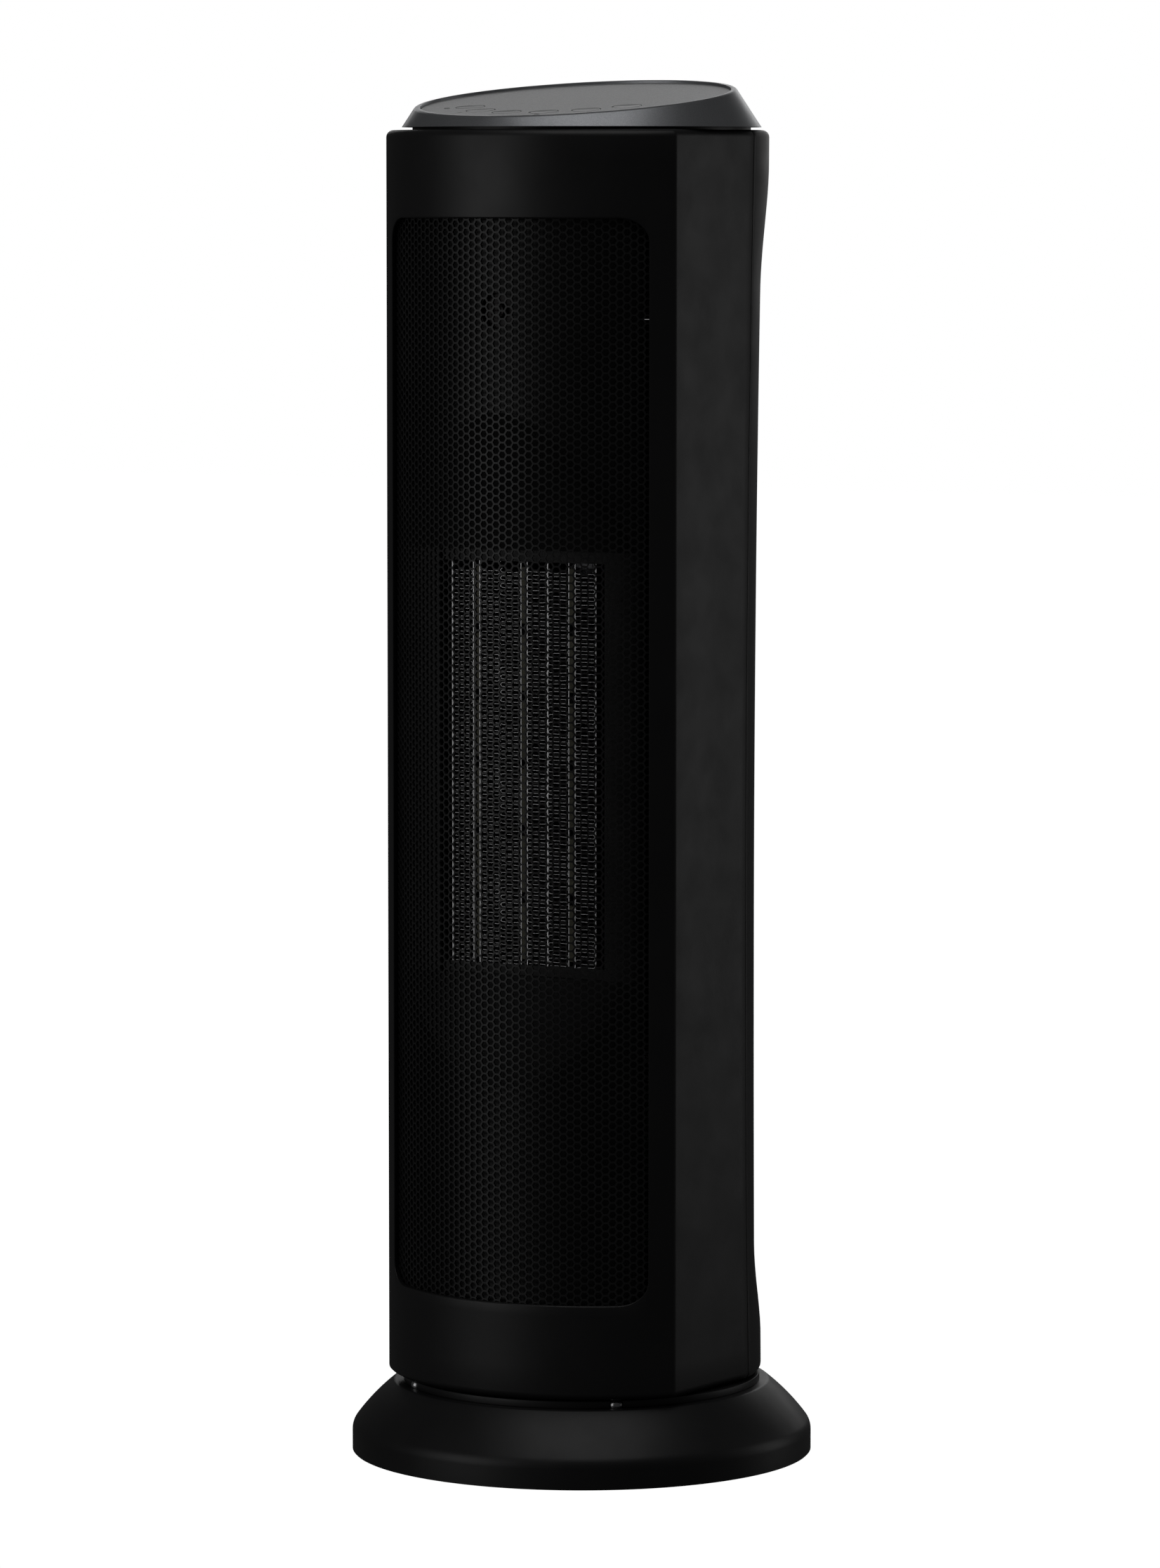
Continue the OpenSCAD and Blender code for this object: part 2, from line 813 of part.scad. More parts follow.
module rear_housing() {
    color([0.02, 0.02, 0.022])
        difference() {
            union() {
                difference() {
                    loft([for (l = skin_levels) back_ring(l[0], l[1], 0)]);
                    loft([for (z = bow_levels(floor_z, body_z1 - wall)) back_ring(z, wall, 4)]);
                }
                for (z = housing_screw_z, s = [-1, 1])
                    translate([s * housing_screw_x, seam_y(z) + 0.8, z])
                        rear_post(back_y(z, housing_screw_x + 3.5) - seam_y(z) - 0.8);
                difference() {
                    cap_lip();
                    ahead_of_seam();
                }
            }
            push_back(20, 110)
                translate([0, (vent_z0 + vent_z1) / 2])
                    round_rect(vent_w, vent_z1 - vent_z0, 8);
            push_back(20, 110)
                translate([0, cup_zc])
                    round_rect(cup_w, cup_h, 8);
            end_openings();
            for (z = housing_screw_z, s = [-1, 1])
                translate([s * housing_screw_x, seam_y(z), z])
                    rotate([-90, 0, 0]) {
                        translate([0, 0, 6])
                            screw_hole(8);
                        translate([0, 0, 6])
                            cylinder(r = head_d / 2 + 0.2, h = 40, $fn = 24);
                    }
        }
}

// Y of the rear shell's inner face at height z, x out from the middle
function back_y(z, x) =
    let (
        ys = seam_y(z),
        yc = spine_y(z),
        r = norm([side_x(ys), ys - yc]) - wall)
    yc + sqrt(r * r - x * x);

// Post inside the rear shell round a housing screw
module rear_post(l) {
    rotate([-90, 0, 0])
        cylinder(d = rear_post_d, h = l, $fn = 32);
}

module housing_screws() {
    color("silver")
        for (z = housing_screw_z, s = [-1, 1])
            translate([s * housing_screw_x, seam_y(z) + 6, z])
                rotate([-90, 0, 0])
                    screw(16);
}

// The vent sits on a plain cylinder just inside the bowed back
vent_cy = waist_y;
vent_r = norm([side_x(seam_y(waist_z)), seam_y(waist_z) - waist_y]) - wall;
slat_pitch = 8;
slat_gap = 4.2;
slat_t = 2;
filter_r = vent_r - 0.1 - slat_t;
filter_t = 2;
slat_rows = floor((vent_z1 - vent_z0 - 12) / slat_pitch);

module vent_sheet(r_out, t, w, z0, z1) {
    intersection() {
        translate([0, vent_cy, 0])
            tube(r_out, r_out - t, z0, z1);
        push_back(20, 110)
            translate([0, (z0 + z1) / 2])
                round_rect(w, z1 - z0, 8);
    }
}

module intake_grille() {
    color([0.03, 0.03, 0.032])
        difference() {
            vent_sheet(vent_r - 0.1, slat_t, vent_w + 2 * vent_lap, vent_z0 - vent_lap, vent_z1 + vent_lap);
            for (i = [0 : slat_rows - 1], s = [-1, 1])
                translate([s * (vent_w / 4 + 0.5), 70, vent_z0 + 10 + i * slat_pitch])
                    cube([vent_w / 2 - 9, 60, slat_gap], center = true);
        }
}

module intake_filter() {
    color([0.15, 0.15, 0.15])
        vent_sheet(filter_r, filter_t, vent_w, vent_z0, vent_z1);
}

module handle_cup() {
    color([0.03, 0.03, 0.032])
        intersection() {
            difference() {
                push_back(30, 100)
                    translate([0, cup_zc])
                        round_rect(cup_w - 0.2, cup_h - 0.2, 8);
                push_back(30 + cup_wall, 110)
                    translate([0, cup_zc])
                        round_rect(cup_w - 2 * cup_wall, cup_h - 2 * cup_wall, 6);
            }
            loft([for (z = bow_levels(floor_z, body_z1 - wall)) back_ring(z, 0.3, 4)]);
        }
}

module floor_ring_screws() {
    around(floor_screw_r, floor_screw_angles)
        translate([0, 0, floor_z + floor_t])
            screw(floor_t + 1.6);
}

swing_post_x = 29;
swing_z0 = gear_z + gear_t + 6;
swing_h = 18;
swing_ear_t = 2;

module tower_floor() {
    color([0.08, 0.08, 0.085])
        difference() {
            union() {
                translate([0, 0, floor_z])
                    cylinder(r = 70, h = floor_t);
                translate([0, 0, floor_z])
                    cylinder(d = spindle_d + 14, h = hub_top - floor_z);
                for (s = [-1, 1])
                    translate([s * swing_post_x, mesh_r, floor_z])
                        cylinder(d = 7, h = swing_z0 - floor_z, $fn = 32);
            }
            translate([0, 0, floor_z - 1])
                cylinder(r = spindle_d / 2 + 2.5, h = 30);
            around(floor_screw_r, floor_screw_angles)
                translate([0, 0, floor_z + floor_t])
                    screw_hole(floor_t + 1);
            for (s = [-1, 1])
                translate([s * swing_post_x, mesh_r, swing_z0])
                    screw_hole(9);
        }
}

module swivel_bush() {
    color("ivory")
        tube(spindle_d / 2 + 2.5, spindle_d / 2 + swivel_fit, floor_z - 1.5, hub_top);
}

module floor_screws() {
    color("silver") {
        floor_ring_screws();
        for (s = [-1, 1])
            translate([s * swing_post_x, mesh_r, swing_z0 + swing_ear_t])
                screw(swing_ear_t + 8);
    }
}

module swing_motor() {
    color([0.75, 0.75, 0.75])
        difference() {
            translate([0, mesh_r, swing_z0]) {
                cylinder(d = 48, h = swing_h);
                linear_extrude(height = swing_ear_t)
                    square([2 * swing_post_x + 8, 9], center = true);
                translate([0, 0, -3])
                    cylinder(d = 12, h = 4);
            }
            translate([0, mesh_r, swing_z0 - 4])
                cylinder(r = pinion_shaft_d / 2 + 0.05, h = 8);
            for (s = [-1, 1])
                translate([s * swing_post_x, mesh_r, swing_z0 + swing_ear_t])
                    screw_hole(4);
        }
}

module swivel_pinion() {
    color([0.9, 0.9, 0.85])
        translate([0, mesh_r, 0]) {
            translate([0, 0, gear_z])
                linear_extrude(height = gear_t)
                    polygon(teeth(-90 + 180 / pinion_teeth, pinion_teeth, pinion_r, pinion_teeth,
                        0.85 * gear_module, 1.15 * gear_module));
            translate([0, 0, gear_z])
                cylinder(d = pinion_shaft_d, h = swing_z0 - gear_z + 3);
        }
}

// ------------------------------------------------------- grille and air path

module mesh_sheet(r_out, r_in, w, h, corner) {
    intersection() {
        translate([0, face_cy, 0])
            tube(r_out, r_in, body_z0, body_z1);
        push_back(-110, -30)
            translate([0, open_zc])
                round_rect(w, h, corner);
    }
}

module front_grille() {
    color([0.05, 0.05, 0.05])
        mesh_sheet(mesh_r1, mesh_r0, grille_w + 2 * mesh_lap, open_h + 2 * mesh_lap, grille_corner);
}

module grille_frame() {
    color([0.04, 0.04, 0.04])
        difference() {
            mesh_sheet(mesh_r0 - 0.05, frame_r0, grille_w + 2 * mesh_lap, open_h + 2 * mesh_lap,
                grille_corner);
            push_back(-110, -30)
                translate([0, open_zc])
                    round_rect(grille_w, open_h, grille_corner);
        }
}

eye_d = 15;
eye_z = body_z1 - 74.8;

// Wedge of air from the window out to the mesh, grown by t
module funnel(t) {
    reach = 40;
    y = core_y0 - guide_t + t;
    grow_high = t * sqrt(1 + funnel_high * funnel_high) - t * funnel_high;
    grow_low = t * sqrt(1 + funnel_low * funnel_low) - t * funnel_low;
    across(guide_w + 20)
        polygon([
            [y, window_z0 - grow_low],
            [y, window_z1 + grow_high],
            [y - reach, window_z1 + grow_high + reach * funnel_high],
            [y - reach, window_z0 - grow_low - reach * funnel_low]]);
}

module air_deflector() {
    color([0.03, 0.03, 0.03])
        difference() {
            intersection() {
                translate([0, face_cy, 0])
                    difference() {
                        cylinder(r = guide_r, h = body_z1);
                        translate([0, 0, -1])
                            cylinder(r = guide_r - guide_t, h = body_z1 + 2);
                    }
                push_back(-110, core_y0)
                    translate([0, open_zc])
                        square([guide_w, guide_h], center = true);
            }
            funnel(0);
            translate([0, 0, eye_z])
                rotate([90, 0, 0])
                    cylinder(d = eye_d, h = 120);
        }
    color([0.03, 0.03, 0.03])
        difference() {
            intersection() {
                translate([0, face_cy, 0])
                    cylinder(r = guide_r, h = body_z1);
                push_back(-110, core_y0)
                    translate([0, open_zc])
                        square([guide_w, guide_h], center = true);
                funnel(guide_t);
            }
            funnel(0);
            push_back(-110, 0)
                translate([0, (window_z0 + window_z1) / 2])
                    square([window_w, window_z1 - window_z0], center = true);
        }
}

// ------------------------------------------------------------ heating core

unit_x = [-unit_w, 0, unit_w];

module core_slab(x, w, y0, y1, z0, z1) {
    translate([x - w / 2, y0, z0])
        cube([w, y1 - y0, z1 - z0]);
}

module ptc_fins() {
    x = stone_t / 2 + electrode_t + fin_w / 2;
    color([0.8, 0.8, 0.82])
        for (u = unit_x, s = [-1, 1])
            core_slab(u + s * x, fin_w, core_y0, core_y1, core_z0, core_z1);
}

module ptc_stones() {
    pitch = core_h / stone_count;
    color([0.6, 0.57, 0.52])
        for (u = unit_x, i = [0 : stone_count - 1])
            core_slab(u, stone_t, core_y0 + 0.5, core_y1 - 0.5,
                core_z0 + (i + 0.5) * pitch - stone_l / 2, core_z0 + (i + 0.5) * pitch + stone_l / 2);
}

module ptc_electrodes() {
    x = (stone_t + electrode_t) / 2;
    color([0.7, 0.7, 0.72]) {
        for (u = unit_x, s = [-1, 1])
            core_slab(u + s * x, electrode_t, core_y0 + 0.3, core_y1 - 0.3, core_z0, core_z1 + end_h + 4);
        for (i = [0 : 3])
            core_slab((i - 1.5) * unit_w, divider_t, core_y0, core_y1, core_z0, core_z1);
    }
}

module ptc_end_frames() {
    color([0.25, 0.22, 0.2])
        difference() {
            for (z = [core_z0 - end_h, core_z1])
                core_slab(0, core_w + 12, core_y0, core_y1, z, z + end_h);
            for (u = unit_x, s = [-1, 1])
                core_slab(u + s * (stone_t + electrode_t) / 2, electrode_t + 0.1,
                    core_y0 + 0.25, core_y1 - 0.25, core_z1 - 1, core_z1 + end_h + 1);
        }
}

module thermal_cutoff() {
    color([0.6, 0.6, 0.6])
        translate([26, core_y1 + 4.5, shelf_z1 - 9])
            rotate([90, 0, 0]) {
                cylinder(d = 14, h = 4.5);
                translate([0, 0, -3])
                    cylinder(d = 10, h = 3 + eps);
            }
}

module thermal_fuse() {
    color([0.9, 0.85, 0.7])
        translate([-26, core_y1 + 2, shelf_z1 - 9])
            rotate([0, 90, 0])
                cylinder(d = 4, h = 11, center = true, $fn = 24);
}

// ------------------------------------------------------------------ blower

module shelf(z, hole_r) {
    difference() {
        intersection() {
            translate([0, vent_cy, z])
                cylinder(r = filter_r - filter_t - slack, h = shelf_t, $fn = 96);
            translate([-100, core_y1 + 0.5, z - 1])
                cube([200, 90, shelf_t + 2]);
        }
        translate([0, wheel_y, z - 1])
            cylinder(r = hole_r, h = shelf_t + 2);
    }
    translate([-duct_x, core_y0 + 2, z])
        cube([2 * duct_x, core_y1 + 1 - core_y0 - 2, shelf_t]);
}

stand_xy = [[-22, -27], [22, -27], [-22, 38], [22, 38]];

module lower_shelf() {
    color([0.12, 0.12, 0.125])
        difference() {
            union() {
                shelf(shelf_z0, shaft_r + 3);
                for (p = stand_xy)
                    translate([p[0], p[1], stack_z1])
                        cylinder(d = 8, h = shelf_z0 - stack_z1 + eps, $fn = 32);
            }
            for (p = stand_xy)
                translate([p[0], p[1], stack_z1 + 9])
                    screw_hole(12);
        }
}

module upper_shelf() {
    color([0.12, 0.12, 0.125])
        difference() {
            shelf(shelf_z1, bush_r);
            for (u = unit_x, s = [-1, 1])
                core_slab(u + s * (stone_t + electrode_t) / 2, electrode_t + 0.6,
                    core_y0 - 1, core_y1 + 0.2, shelf_z1 - 1, shelf_z1 + shelf_t + 1);
        }
}

scroll_end = 108;                   // angle at which the scroll's wall ends

module blower_scroll() {
    z0 = shelf_z0 + shelf_t;
    h = shelf_z1 - z0;
    t = 2;
    r = duct_x;
    color([0.15, 0.15, 0.155])
        translate([0, 0, z0])
            linear_extrude(height = h) {
                polygon(concat(
                    [[r + t, core_y1 + 0.5]],
                    arc_points([0, wheel_y], r + t, 0, scroll_end, 24),
                    arc_points([0, wheel_y], r, scroll_end, 0, 24),
                    [[r, core_y1 + 0.5]]));
                polygon([[-r - t, core_y1 + 0.5], [-r, core_y1 + 0.5], [-r + 4, wheel_y - 18],
                    [-r + 2, wheel_y - 17]]);
                translate([-r + 3, wheel_y - 17])
                    circle(r = 2);
            }
}

module blower_wheel() {
    h = wheel_z1 - wheel_z0;
    ring_t = 1.6;
    color([0.2, 0.2, 0.21])
        translate([0, wheel_y, wheel_z0])
            difference() {
                union() {
                    for (z = [0, h / 2 - ring_t / 2, h - ring_t])
                        translate([0, 0, z])
                            cylinder(r = wheel_r, h = ring_t);
                    cylinder(r = 8, h = 12);
                    translate([0, 0, h - 8])
                        cylinder(r = 8, h = 8);
                    for (i = [0 : blade_count - 1])
                        rotate([0, 0, i * 360 / blade_count])
                            translate([wheel_r - 4.6, 0, 0])
                                rotate([0, 0, 28])
                                    translate([-4, -0.5, 0])
                                        cube([8, 1, h]);
                }
                translate([0, 0, -1])
                    cylinder(r = shaft_r, h = h + 2);
            }
}

module motor_shaft() {
    color("silver")
        translate([0, wheel_y, stack_z0 - 9])
            cylinder(r = shaft_r, h = shelf_z1 + shelf_t + 4 - stack_z0 + 9);
}

module motor_rotor() {
    color([0.7, 0.7, 0.7])
        translate([0, wheel_y, 0]) {
            tube(rotor_d / 2, shaft_r, stack_z0, stack_z1);
            tube(rotor_d / 2 - 1.5, shaft_r, stack_z0 - 1.2, stack_z0);
            tube(rotor_d / 2 - 1.5, shaft_r, stack_z1, stack_z1 + 1.2);
        }
}

stack_w = 54;
stack_front = -33;
stack_back = 44;
leg_front = -21;                    // the coil sits on the leg ahead of this
window_back = 1;
coil_w = 26;
coil_t = 5;

module motor_stator() {
    color([0.45, 0.45, 0.47])
        difference() {
            translate([-stack_w / 2, stack_front, stack_z0])
                cube([stack_w, stack_back - stack_front, stack_h]);
            translate([0, wheel_y, stack_z0 - 1])
                cylinder(r = rotor_d / 2 + air_gap, h = stack_h + 2);
            translate([-coil_w / 2 - 1, leg_front, stack_z0 - 1])
                cube([coil_w + 2, window_back - leg_front, stack_h + 2]);
            for (p = stand_xy)
                translate([p[0], p[1], stack_z1])
                    screw_hole(stack_h + 1);
        }
}

module motor_coil() {
    color([0.65, 0.35, 0.15])
        difference() {
            translate([-coil_w / 2, stack_front - coil_t, stack_z0 - coil_t])
                cube([coil_w, leg_front - stack_front + 2 * coil_t + 1, stack_h + 2 * coil_t]);
            translate([-coil_w / 2 - 1, stack_front, stack_z0])
                cube([coil_w + 2, leg_front - stack_front, stack_h]);
        }
}

module motor_brackets() {
    color([0.7, 0.7, 0.72])
        for (m = [0, 1])
            translate([0, wheel_y, m * (stack_z0 + stack_z1)])
                mirror([0, 0, m])
                    translate([0, 0, stack_z1])
                        difference() {
                            union() {
                                translate([-19, -8, bracket_gap])
                                    cube([38, 16, bracket_t]);
                                for (s = [-1, 1])
                                    translate([s * 17 - 2, -8, 0])
                                        cube([4, 16, bracket_gap + eps]);
                            }
                            translate([0, 0, -1])
                                cylinder(r = bush_r, h = 8);
                        }
}

module shaft_bushes() {
    starts = [stack_z0 - bracket_gap - bracket_t - 1, stack_z1 + bracket_gap - 0.2, shelf_z1 - 1];
    color([0.7, 0.5, 0.25])
        translate([0, wheel_y, 0])
            for (z = starts)
                tube(bush_r, shaft_r + shaft_fit, z, z + bush_h - 3.3);
}

// ------------------------------------------------------------- electronics

// Corner of the power board: its lower edge and its rear face
board_z = swing_z0 + swing_h + 2;
board_y = 44;

module power_board() {
    color([0.1, 0.35, 0.15])
        translate([-38, board_y, board_z])
            cube([76, board_t, 74]);
}

module power_relays() {
    color([0.1, 0.1, 0.35])
        for (x = [-30, -6])
            translate([x, board_y - 15, board_z + 18])
                cube([19, 15, 16]);
}

module terminal_block() {
    color([0.15, 0.5, 0.3])
        translate([14, board_y - 10, board_z + 46])
            cube([20, 10, 12]);
}

module ir_receiver() {
    y = -(guide_r - face_cy - guide_t) + 1.1;
    color([0.1, 0.02, 0.05])
        translate([0, y, eye_z]) {
            rotate([90, 0, 0])
                cylinder(r = 3.2, h = 3);
            translate([-8, 0, -8])
                cube([16, 5, 16]);
        }
}

// --------------------------------------------------------- cap and buttons

// Places the child in the sloping frame of the cap's rim
module on_cap() {
    translate([0, rim_y, rim_z])
        rotate([cap_tilt, 0, 0])
            children();
}

button_angles = [for (i = [-2.5 : 1 : 2.5]) i * button_step];

function button_xy(i) = button_r * [sin(button_angles[i]), -cos(button_angles[i])];

board_posts = [[-34, 20], [34, 20], [-14, -24], [14, -24]];

module top_cap() {
    color([0.22, 0.22, 0.23])
        difference() {
            union() {
                difference() {
                    cap_cone(0);
                    cap_hollow();
                }
                on_cap()
                    for (p = board_posts)
                        translate([p[0], p[1], board_top])
                            cylinder(d = 7, h = deck_low - board_top + eps, $fn = 32);
                cap_bosses();
            }
            on_cap() {
                translate([0, 0, 25])
                    cube([200, 200, 50], center = true);
                translate([0, 0, deck_top])
                    cylinder(d = panel_d + 2 * slack, h = 20, $fn = 96);
                for (i = [0 : 5])
                    translate([button_xy(i)[0], button_xy(i)[1], deck_low - 2])
                        cylinder(d = button_d + 3, h = 12, $fn = 48);
                for (p = board_posts)
                    translate([p[0], p[1], board_top + 6])
                        screw_hole(8);
            }
            tube(lip_r + slack, lip_r - lip_t - slack, cap_z - 1, lip_z + slack);
            around(cap_boss_r, ear_angles)
                translate([0, 0, body_z1 + 7])
                    screw_hole(8);
        }
}

// Cone of the cap, e inside its skin
module cap_cone(e) {
    h = cap_rear_h + 10;
    translate([0, 0, cap_z])
        cylinder(r1 = cap_r - e, r2 = cap_r - e - cap_lean * h, h = h, $fn = 128);
}

// Space under the cap's deck
module cap_hollow() {
    intersection() {
        translate([0, 0, -eps])
            cap_cone(2.8);
        on_cap()
            translate([0, 0, deck_low - 50])
                cube([200, 200, 100], center = true);
    }
}

// Posts under the deck that take the cap's screws and stand on the ears
module cap_bosses() {
    around(cap_boss_r, ear_angles)
        translate([0, 0, body_z1])
            cylinder(d = 9, h = cap_gap + 1, $fn = 32);
    intersection() {
        around(cap_boss_r, ear_angles)
            translate([0, 0, body_z1])
                cylinder(d = 9, h = 25, $fn = 32);
        cap_cone(1);
    }
}

module cap_screws() {
    color("silver") {
        around(cap_boss_r, ear_angles)
            translate([0, 0, body_z1 - wall])
                mirror([0, 0, 1])
                    screw(8);
        on_cap()
            for (p = board_posts)
                translate([p[0], p[1], board_top - board_t])
                    mirror([0, 0, 1])
                        screw(6);
    }
}

module control_panel() {
    color([0.3, 0.3, 0.31])
        on_cap()
            difference() {
                translate([0, 0, deck_top])
                    cylinder(d = panel_d, h = panel_t, $fn = 96);
                for (i = [0 : 5])
                    translate([button_xy(i)[0], button_xy(i)[1], deck_top - 1])
                        cylinder(d = button_d + 2 * button_gap, h = panel_t + 2, $fn = 48);
            }
}

// Push button i: a round cap, a flange that keeps it under the panel, a stem
module button(i) {
    flange_t = 1;
    color([0.45, 0.45, 0.46])
        on_cap()
            translate([button_xy(i)[0], button_xy(i)[1], 0]) {
                translate([0, 0, deck_top - 0.1])
                    cylinder(d = button_d, h = panel_top + 0.1 - deck_top, $fn = 48);
                translate([0, 0, deck_top - 0.1 - flange_t])
                    cylinder(d = button_d + 1.6, h = flange_t, $fn = 48);
                translate([0, 0, button_low])
                    cylinder(d = 5, h = deck_top - button_low - 0.5, $fn = 32);
            }
}

module button_timer() { button(0); }
module button_fan() { button(1); }
module button_heat() { button(2); }
module button_power() { button(3); }
module button_down() { button(4); }
module button_up() { button(5); }

module control_board() {
    color([0.1, 0.35, 0.15])
        on_cap()
            difference() {
                translate([0, 0, board_top - board_t])
                    cylinder(r = board_r, h = board_t, $fn = 96);
                for (p = board_posts)
                    translate([p[0], p[1], board_top + 1])
                        screw_hole(4);
            }
}

module tact_switches() {
    color([0.1, 0.1, 0.1])
        on_cap()
            for (i = [0 : 5])
                translate([button_xy(i)[0], button_xy(i)[1], board_top]) {
                    translate([-3, -3, 0])
                        cube([6, 6, 3.2]);
                    cylinder(d = 3.4, h = switch_top - board_top, $fn = 24);
                }
}

// --------------------------------------------------------------- the model

base_cover();
base_plate();
rubber_feet();
base_screws();
swivel_ring();
swivel_balls();
spindle();
spindle_screws();
swivel_gear();
thrust_washer();
tip_switch();
cord_gland();
tip_plunger();
tip_spring();
tower_floor();
swivel_bush();
floor_screws();
front_housing();
rear_housing();
housing_screws();
intake_grille();
intake_filter();
handle_cup();
front_grille();
grille_frame();
air_deflector();
ptc_fins();
ptc_stones();
ptc_electrodes();
ptc_end_frames();
thermal_cutoff();
thermal_fuse();
lower_shelf();
upper_shelf();
blower_scroll();
shaft_bushes();
motor_stator();
motor_coil();
motor_brackets();
swing_motor();
power_board();
power_relays();
terminal_block();
control_board();
tact_switches();
ir_receiver();
top_cap();
cap_screws();
control_panel();
blower_wheel();
motor_rotor();
motor_shaft();
swivel_pinion();
button_power();
button_heat();
button_fan();
button_timer();
button_down();
button_up();
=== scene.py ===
"""Visual model of a swivelling ceramic tower heater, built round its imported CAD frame.

Metres, +Z up.
"""

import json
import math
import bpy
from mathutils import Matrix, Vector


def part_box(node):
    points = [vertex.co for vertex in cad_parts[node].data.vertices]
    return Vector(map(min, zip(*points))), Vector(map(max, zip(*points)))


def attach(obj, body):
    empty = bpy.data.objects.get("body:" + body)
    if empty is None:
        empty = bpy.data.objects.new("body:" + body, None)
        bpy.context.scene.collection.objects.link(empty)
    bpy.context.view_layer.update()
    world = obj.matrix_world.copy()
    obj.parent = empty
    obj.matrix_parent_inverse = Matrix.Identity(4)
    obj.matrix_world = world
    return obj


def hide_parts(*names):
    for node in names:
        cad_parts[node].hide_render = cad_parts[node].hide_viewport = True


bl_info = {
    "name": "Ceramic tower heater",
    "version": (1, 0, 0),
    "blender": (4, 5, 0),
    "location": "3D View > Sidebar > Tower heater",
    "description": "Builds the shells, grille, heating core, cap and finishes of a tower heater",
    "category": "Object",
}

import bmesh
import bpy
from mathutils import Matrix, Vector

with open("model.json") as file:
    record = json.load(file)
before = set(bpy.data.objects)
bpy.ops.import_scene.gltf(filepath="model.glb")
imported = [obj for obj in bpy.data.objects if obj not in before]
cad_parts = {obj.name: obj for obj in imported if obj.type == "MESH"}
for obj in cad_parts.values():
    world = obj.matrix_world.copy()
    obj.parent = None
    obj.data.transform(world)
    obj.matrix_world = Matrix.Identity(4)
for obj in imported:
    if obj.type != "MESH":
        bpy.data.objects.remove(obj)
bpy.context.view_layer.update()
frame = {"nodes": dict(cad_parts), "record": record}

SLOT_OF = {part["node"]: part["material_slot"] for part in frame["record"]["subparts"]}

# Shell plan, in metres: the curved front, the slanted sides and the bowed back
BODY_Z0 = 0.0353
BODY_Z1 = 0.5638
FACE_R = 0.0885
FACE_CY = 0.0101
CORNER_X = 0.0694
CORNER_Y = FACE_CY - math.sqrt(FACE_R**2 - CORNER_X**2)
SEAM_REACH = 0.0104
SIDE_SLOPE = 0.006 / (SEAM_REACH - CORNER_Y)
SIDE_COS = math.cos(math.atan(SIDE_SLOPE))
WAIST_Z = BODY_Z0 + 0.38 * (BODY_Z1 - BODY_Z0)
WAIST_Y = -0.0063
SWELL_LOW = (BODY_Z0 + 0.015, BODY_Z0 + 0.056)
SWELL_HIGH = (BODY_Z1 - 0.070, BODY_Z1 - 0.014)
WALL = 0.0025
REAR_STEPS = 90
SEAM_GAP = 0.0003

# Cap frame: origin in the middle of the rim, Z leaning back
CAP_Z = 0.565
CAP_R = 0.0759
CAP_LEAN = 0.65
RIM_FRONT_H = 0.0041
RIM_REAR_H = 0.0207
RIM_FRONT_Y = -(CAP_R - CAP_LEAN * RIM_FRONT_H)
RIM_REAR_Y = CAP_R - CAP_LEAN * RIM_REAR_H
RIM_Y = (RIM_FRONT_Y + RIM_REAR_Y) / 2
RIM_Z = CAP_Z + (RIM_FRONT_H + RIM_REAR_H) / 2
CAP_TILT = math.atan((RIM_REAR_H - RIM_FRONT_H) / (RIM_REAR_Y - RIM_FRONT_Y))
PANEL_TOP = -0.001
DECK_TOP = -0.003
DECK_LOW = -0.0052
ON_CAP = Matrix.Translation((0, RIM_Y, RIM_Z)) @ Matrix.Rotation(CAP_TILT, 4, "X")
LYING = Matrix.Rotation(math.pi / 2, 4, "X")
BUTTONS = ("button_timer", "button_fan", "button_heat", "button_power", "button_down", "button_up")
BUTTON_R = 0.0445
BUTTON_STEP = math.radians(23)
LIP_LOW = 0.5615
LIP_HIGH = CAP_Z + 0.0002
LIP_R_IN = 0.0694
LIP_R_OUT = 0.0714
RECESS_R = 0.0656
PANEL_R = 0.0653
KEY_R = 0.006
MARK_R = BUTTON_R + 0.0098
# Openings of the shells and the mesh behind the front one
OPENING_Z = (0.0754, 0.5271)
MESH_R = 0.086
MESH_HALF = 0.0613 + 0.0015
SCREW_X = 0.062
SCREW_Z = (0.0573, 0.1653, 0.4338, 0.5418)
# The heating core: its fins, units, stones and electrodes, and how uneven the fins are
FIN_W = 0.00945
UNIT_W = 0.0229
STONE_T = 0.0026
ELECTRODE_T = 0.0004
FIN_SWAY = 0.00012
FIN_WANDER = 0.0003
# Height of the camera, the point it looks at, and the point the lights face
EYE_Z = 0.545
EYE_AIM = (-0.00062, -0.00034, 0.28681)
LIGHT_AIM = (0.0, 0.0, 0.30)
# Settings of an array whose copies are welded to one another
WELD = {"use_relative_offset": False, "use_constant_offset": True,
        "use_merge_vertices": True, "merge_threshold": 1e-5}


# ---------------------------------------------------------------- modelling


def clear():
    """Back to object mode with nothing selected."""
    if bpy.context.mode != "OBJECT":
        bpy.ops.object.mode_set(mode="OBJECT")
    bpy.ops.object.select_all(action="DESELECT")


def take(obj):
    """Selects obj alone and makes it active."""
    clear()
    obj.select_set(True)
    bpy.context.view_layer.objects.active = obj
    return obj


def named(name):
    """Names the object that a primitive operator has just added."""
    obj = bpy.context.object
    obj.name = name
    obj.data.name = name
    return obj


def edit(obj):
    """Enters edit mode on obj with nothing selected."""
    take(obj)
    bpy.ops.object.mode_set(mode="EDIT")
    bpy.ops.mesh.select_all(action="DESELECT")
    return bmesh.from_edit_mesh(obj.data)


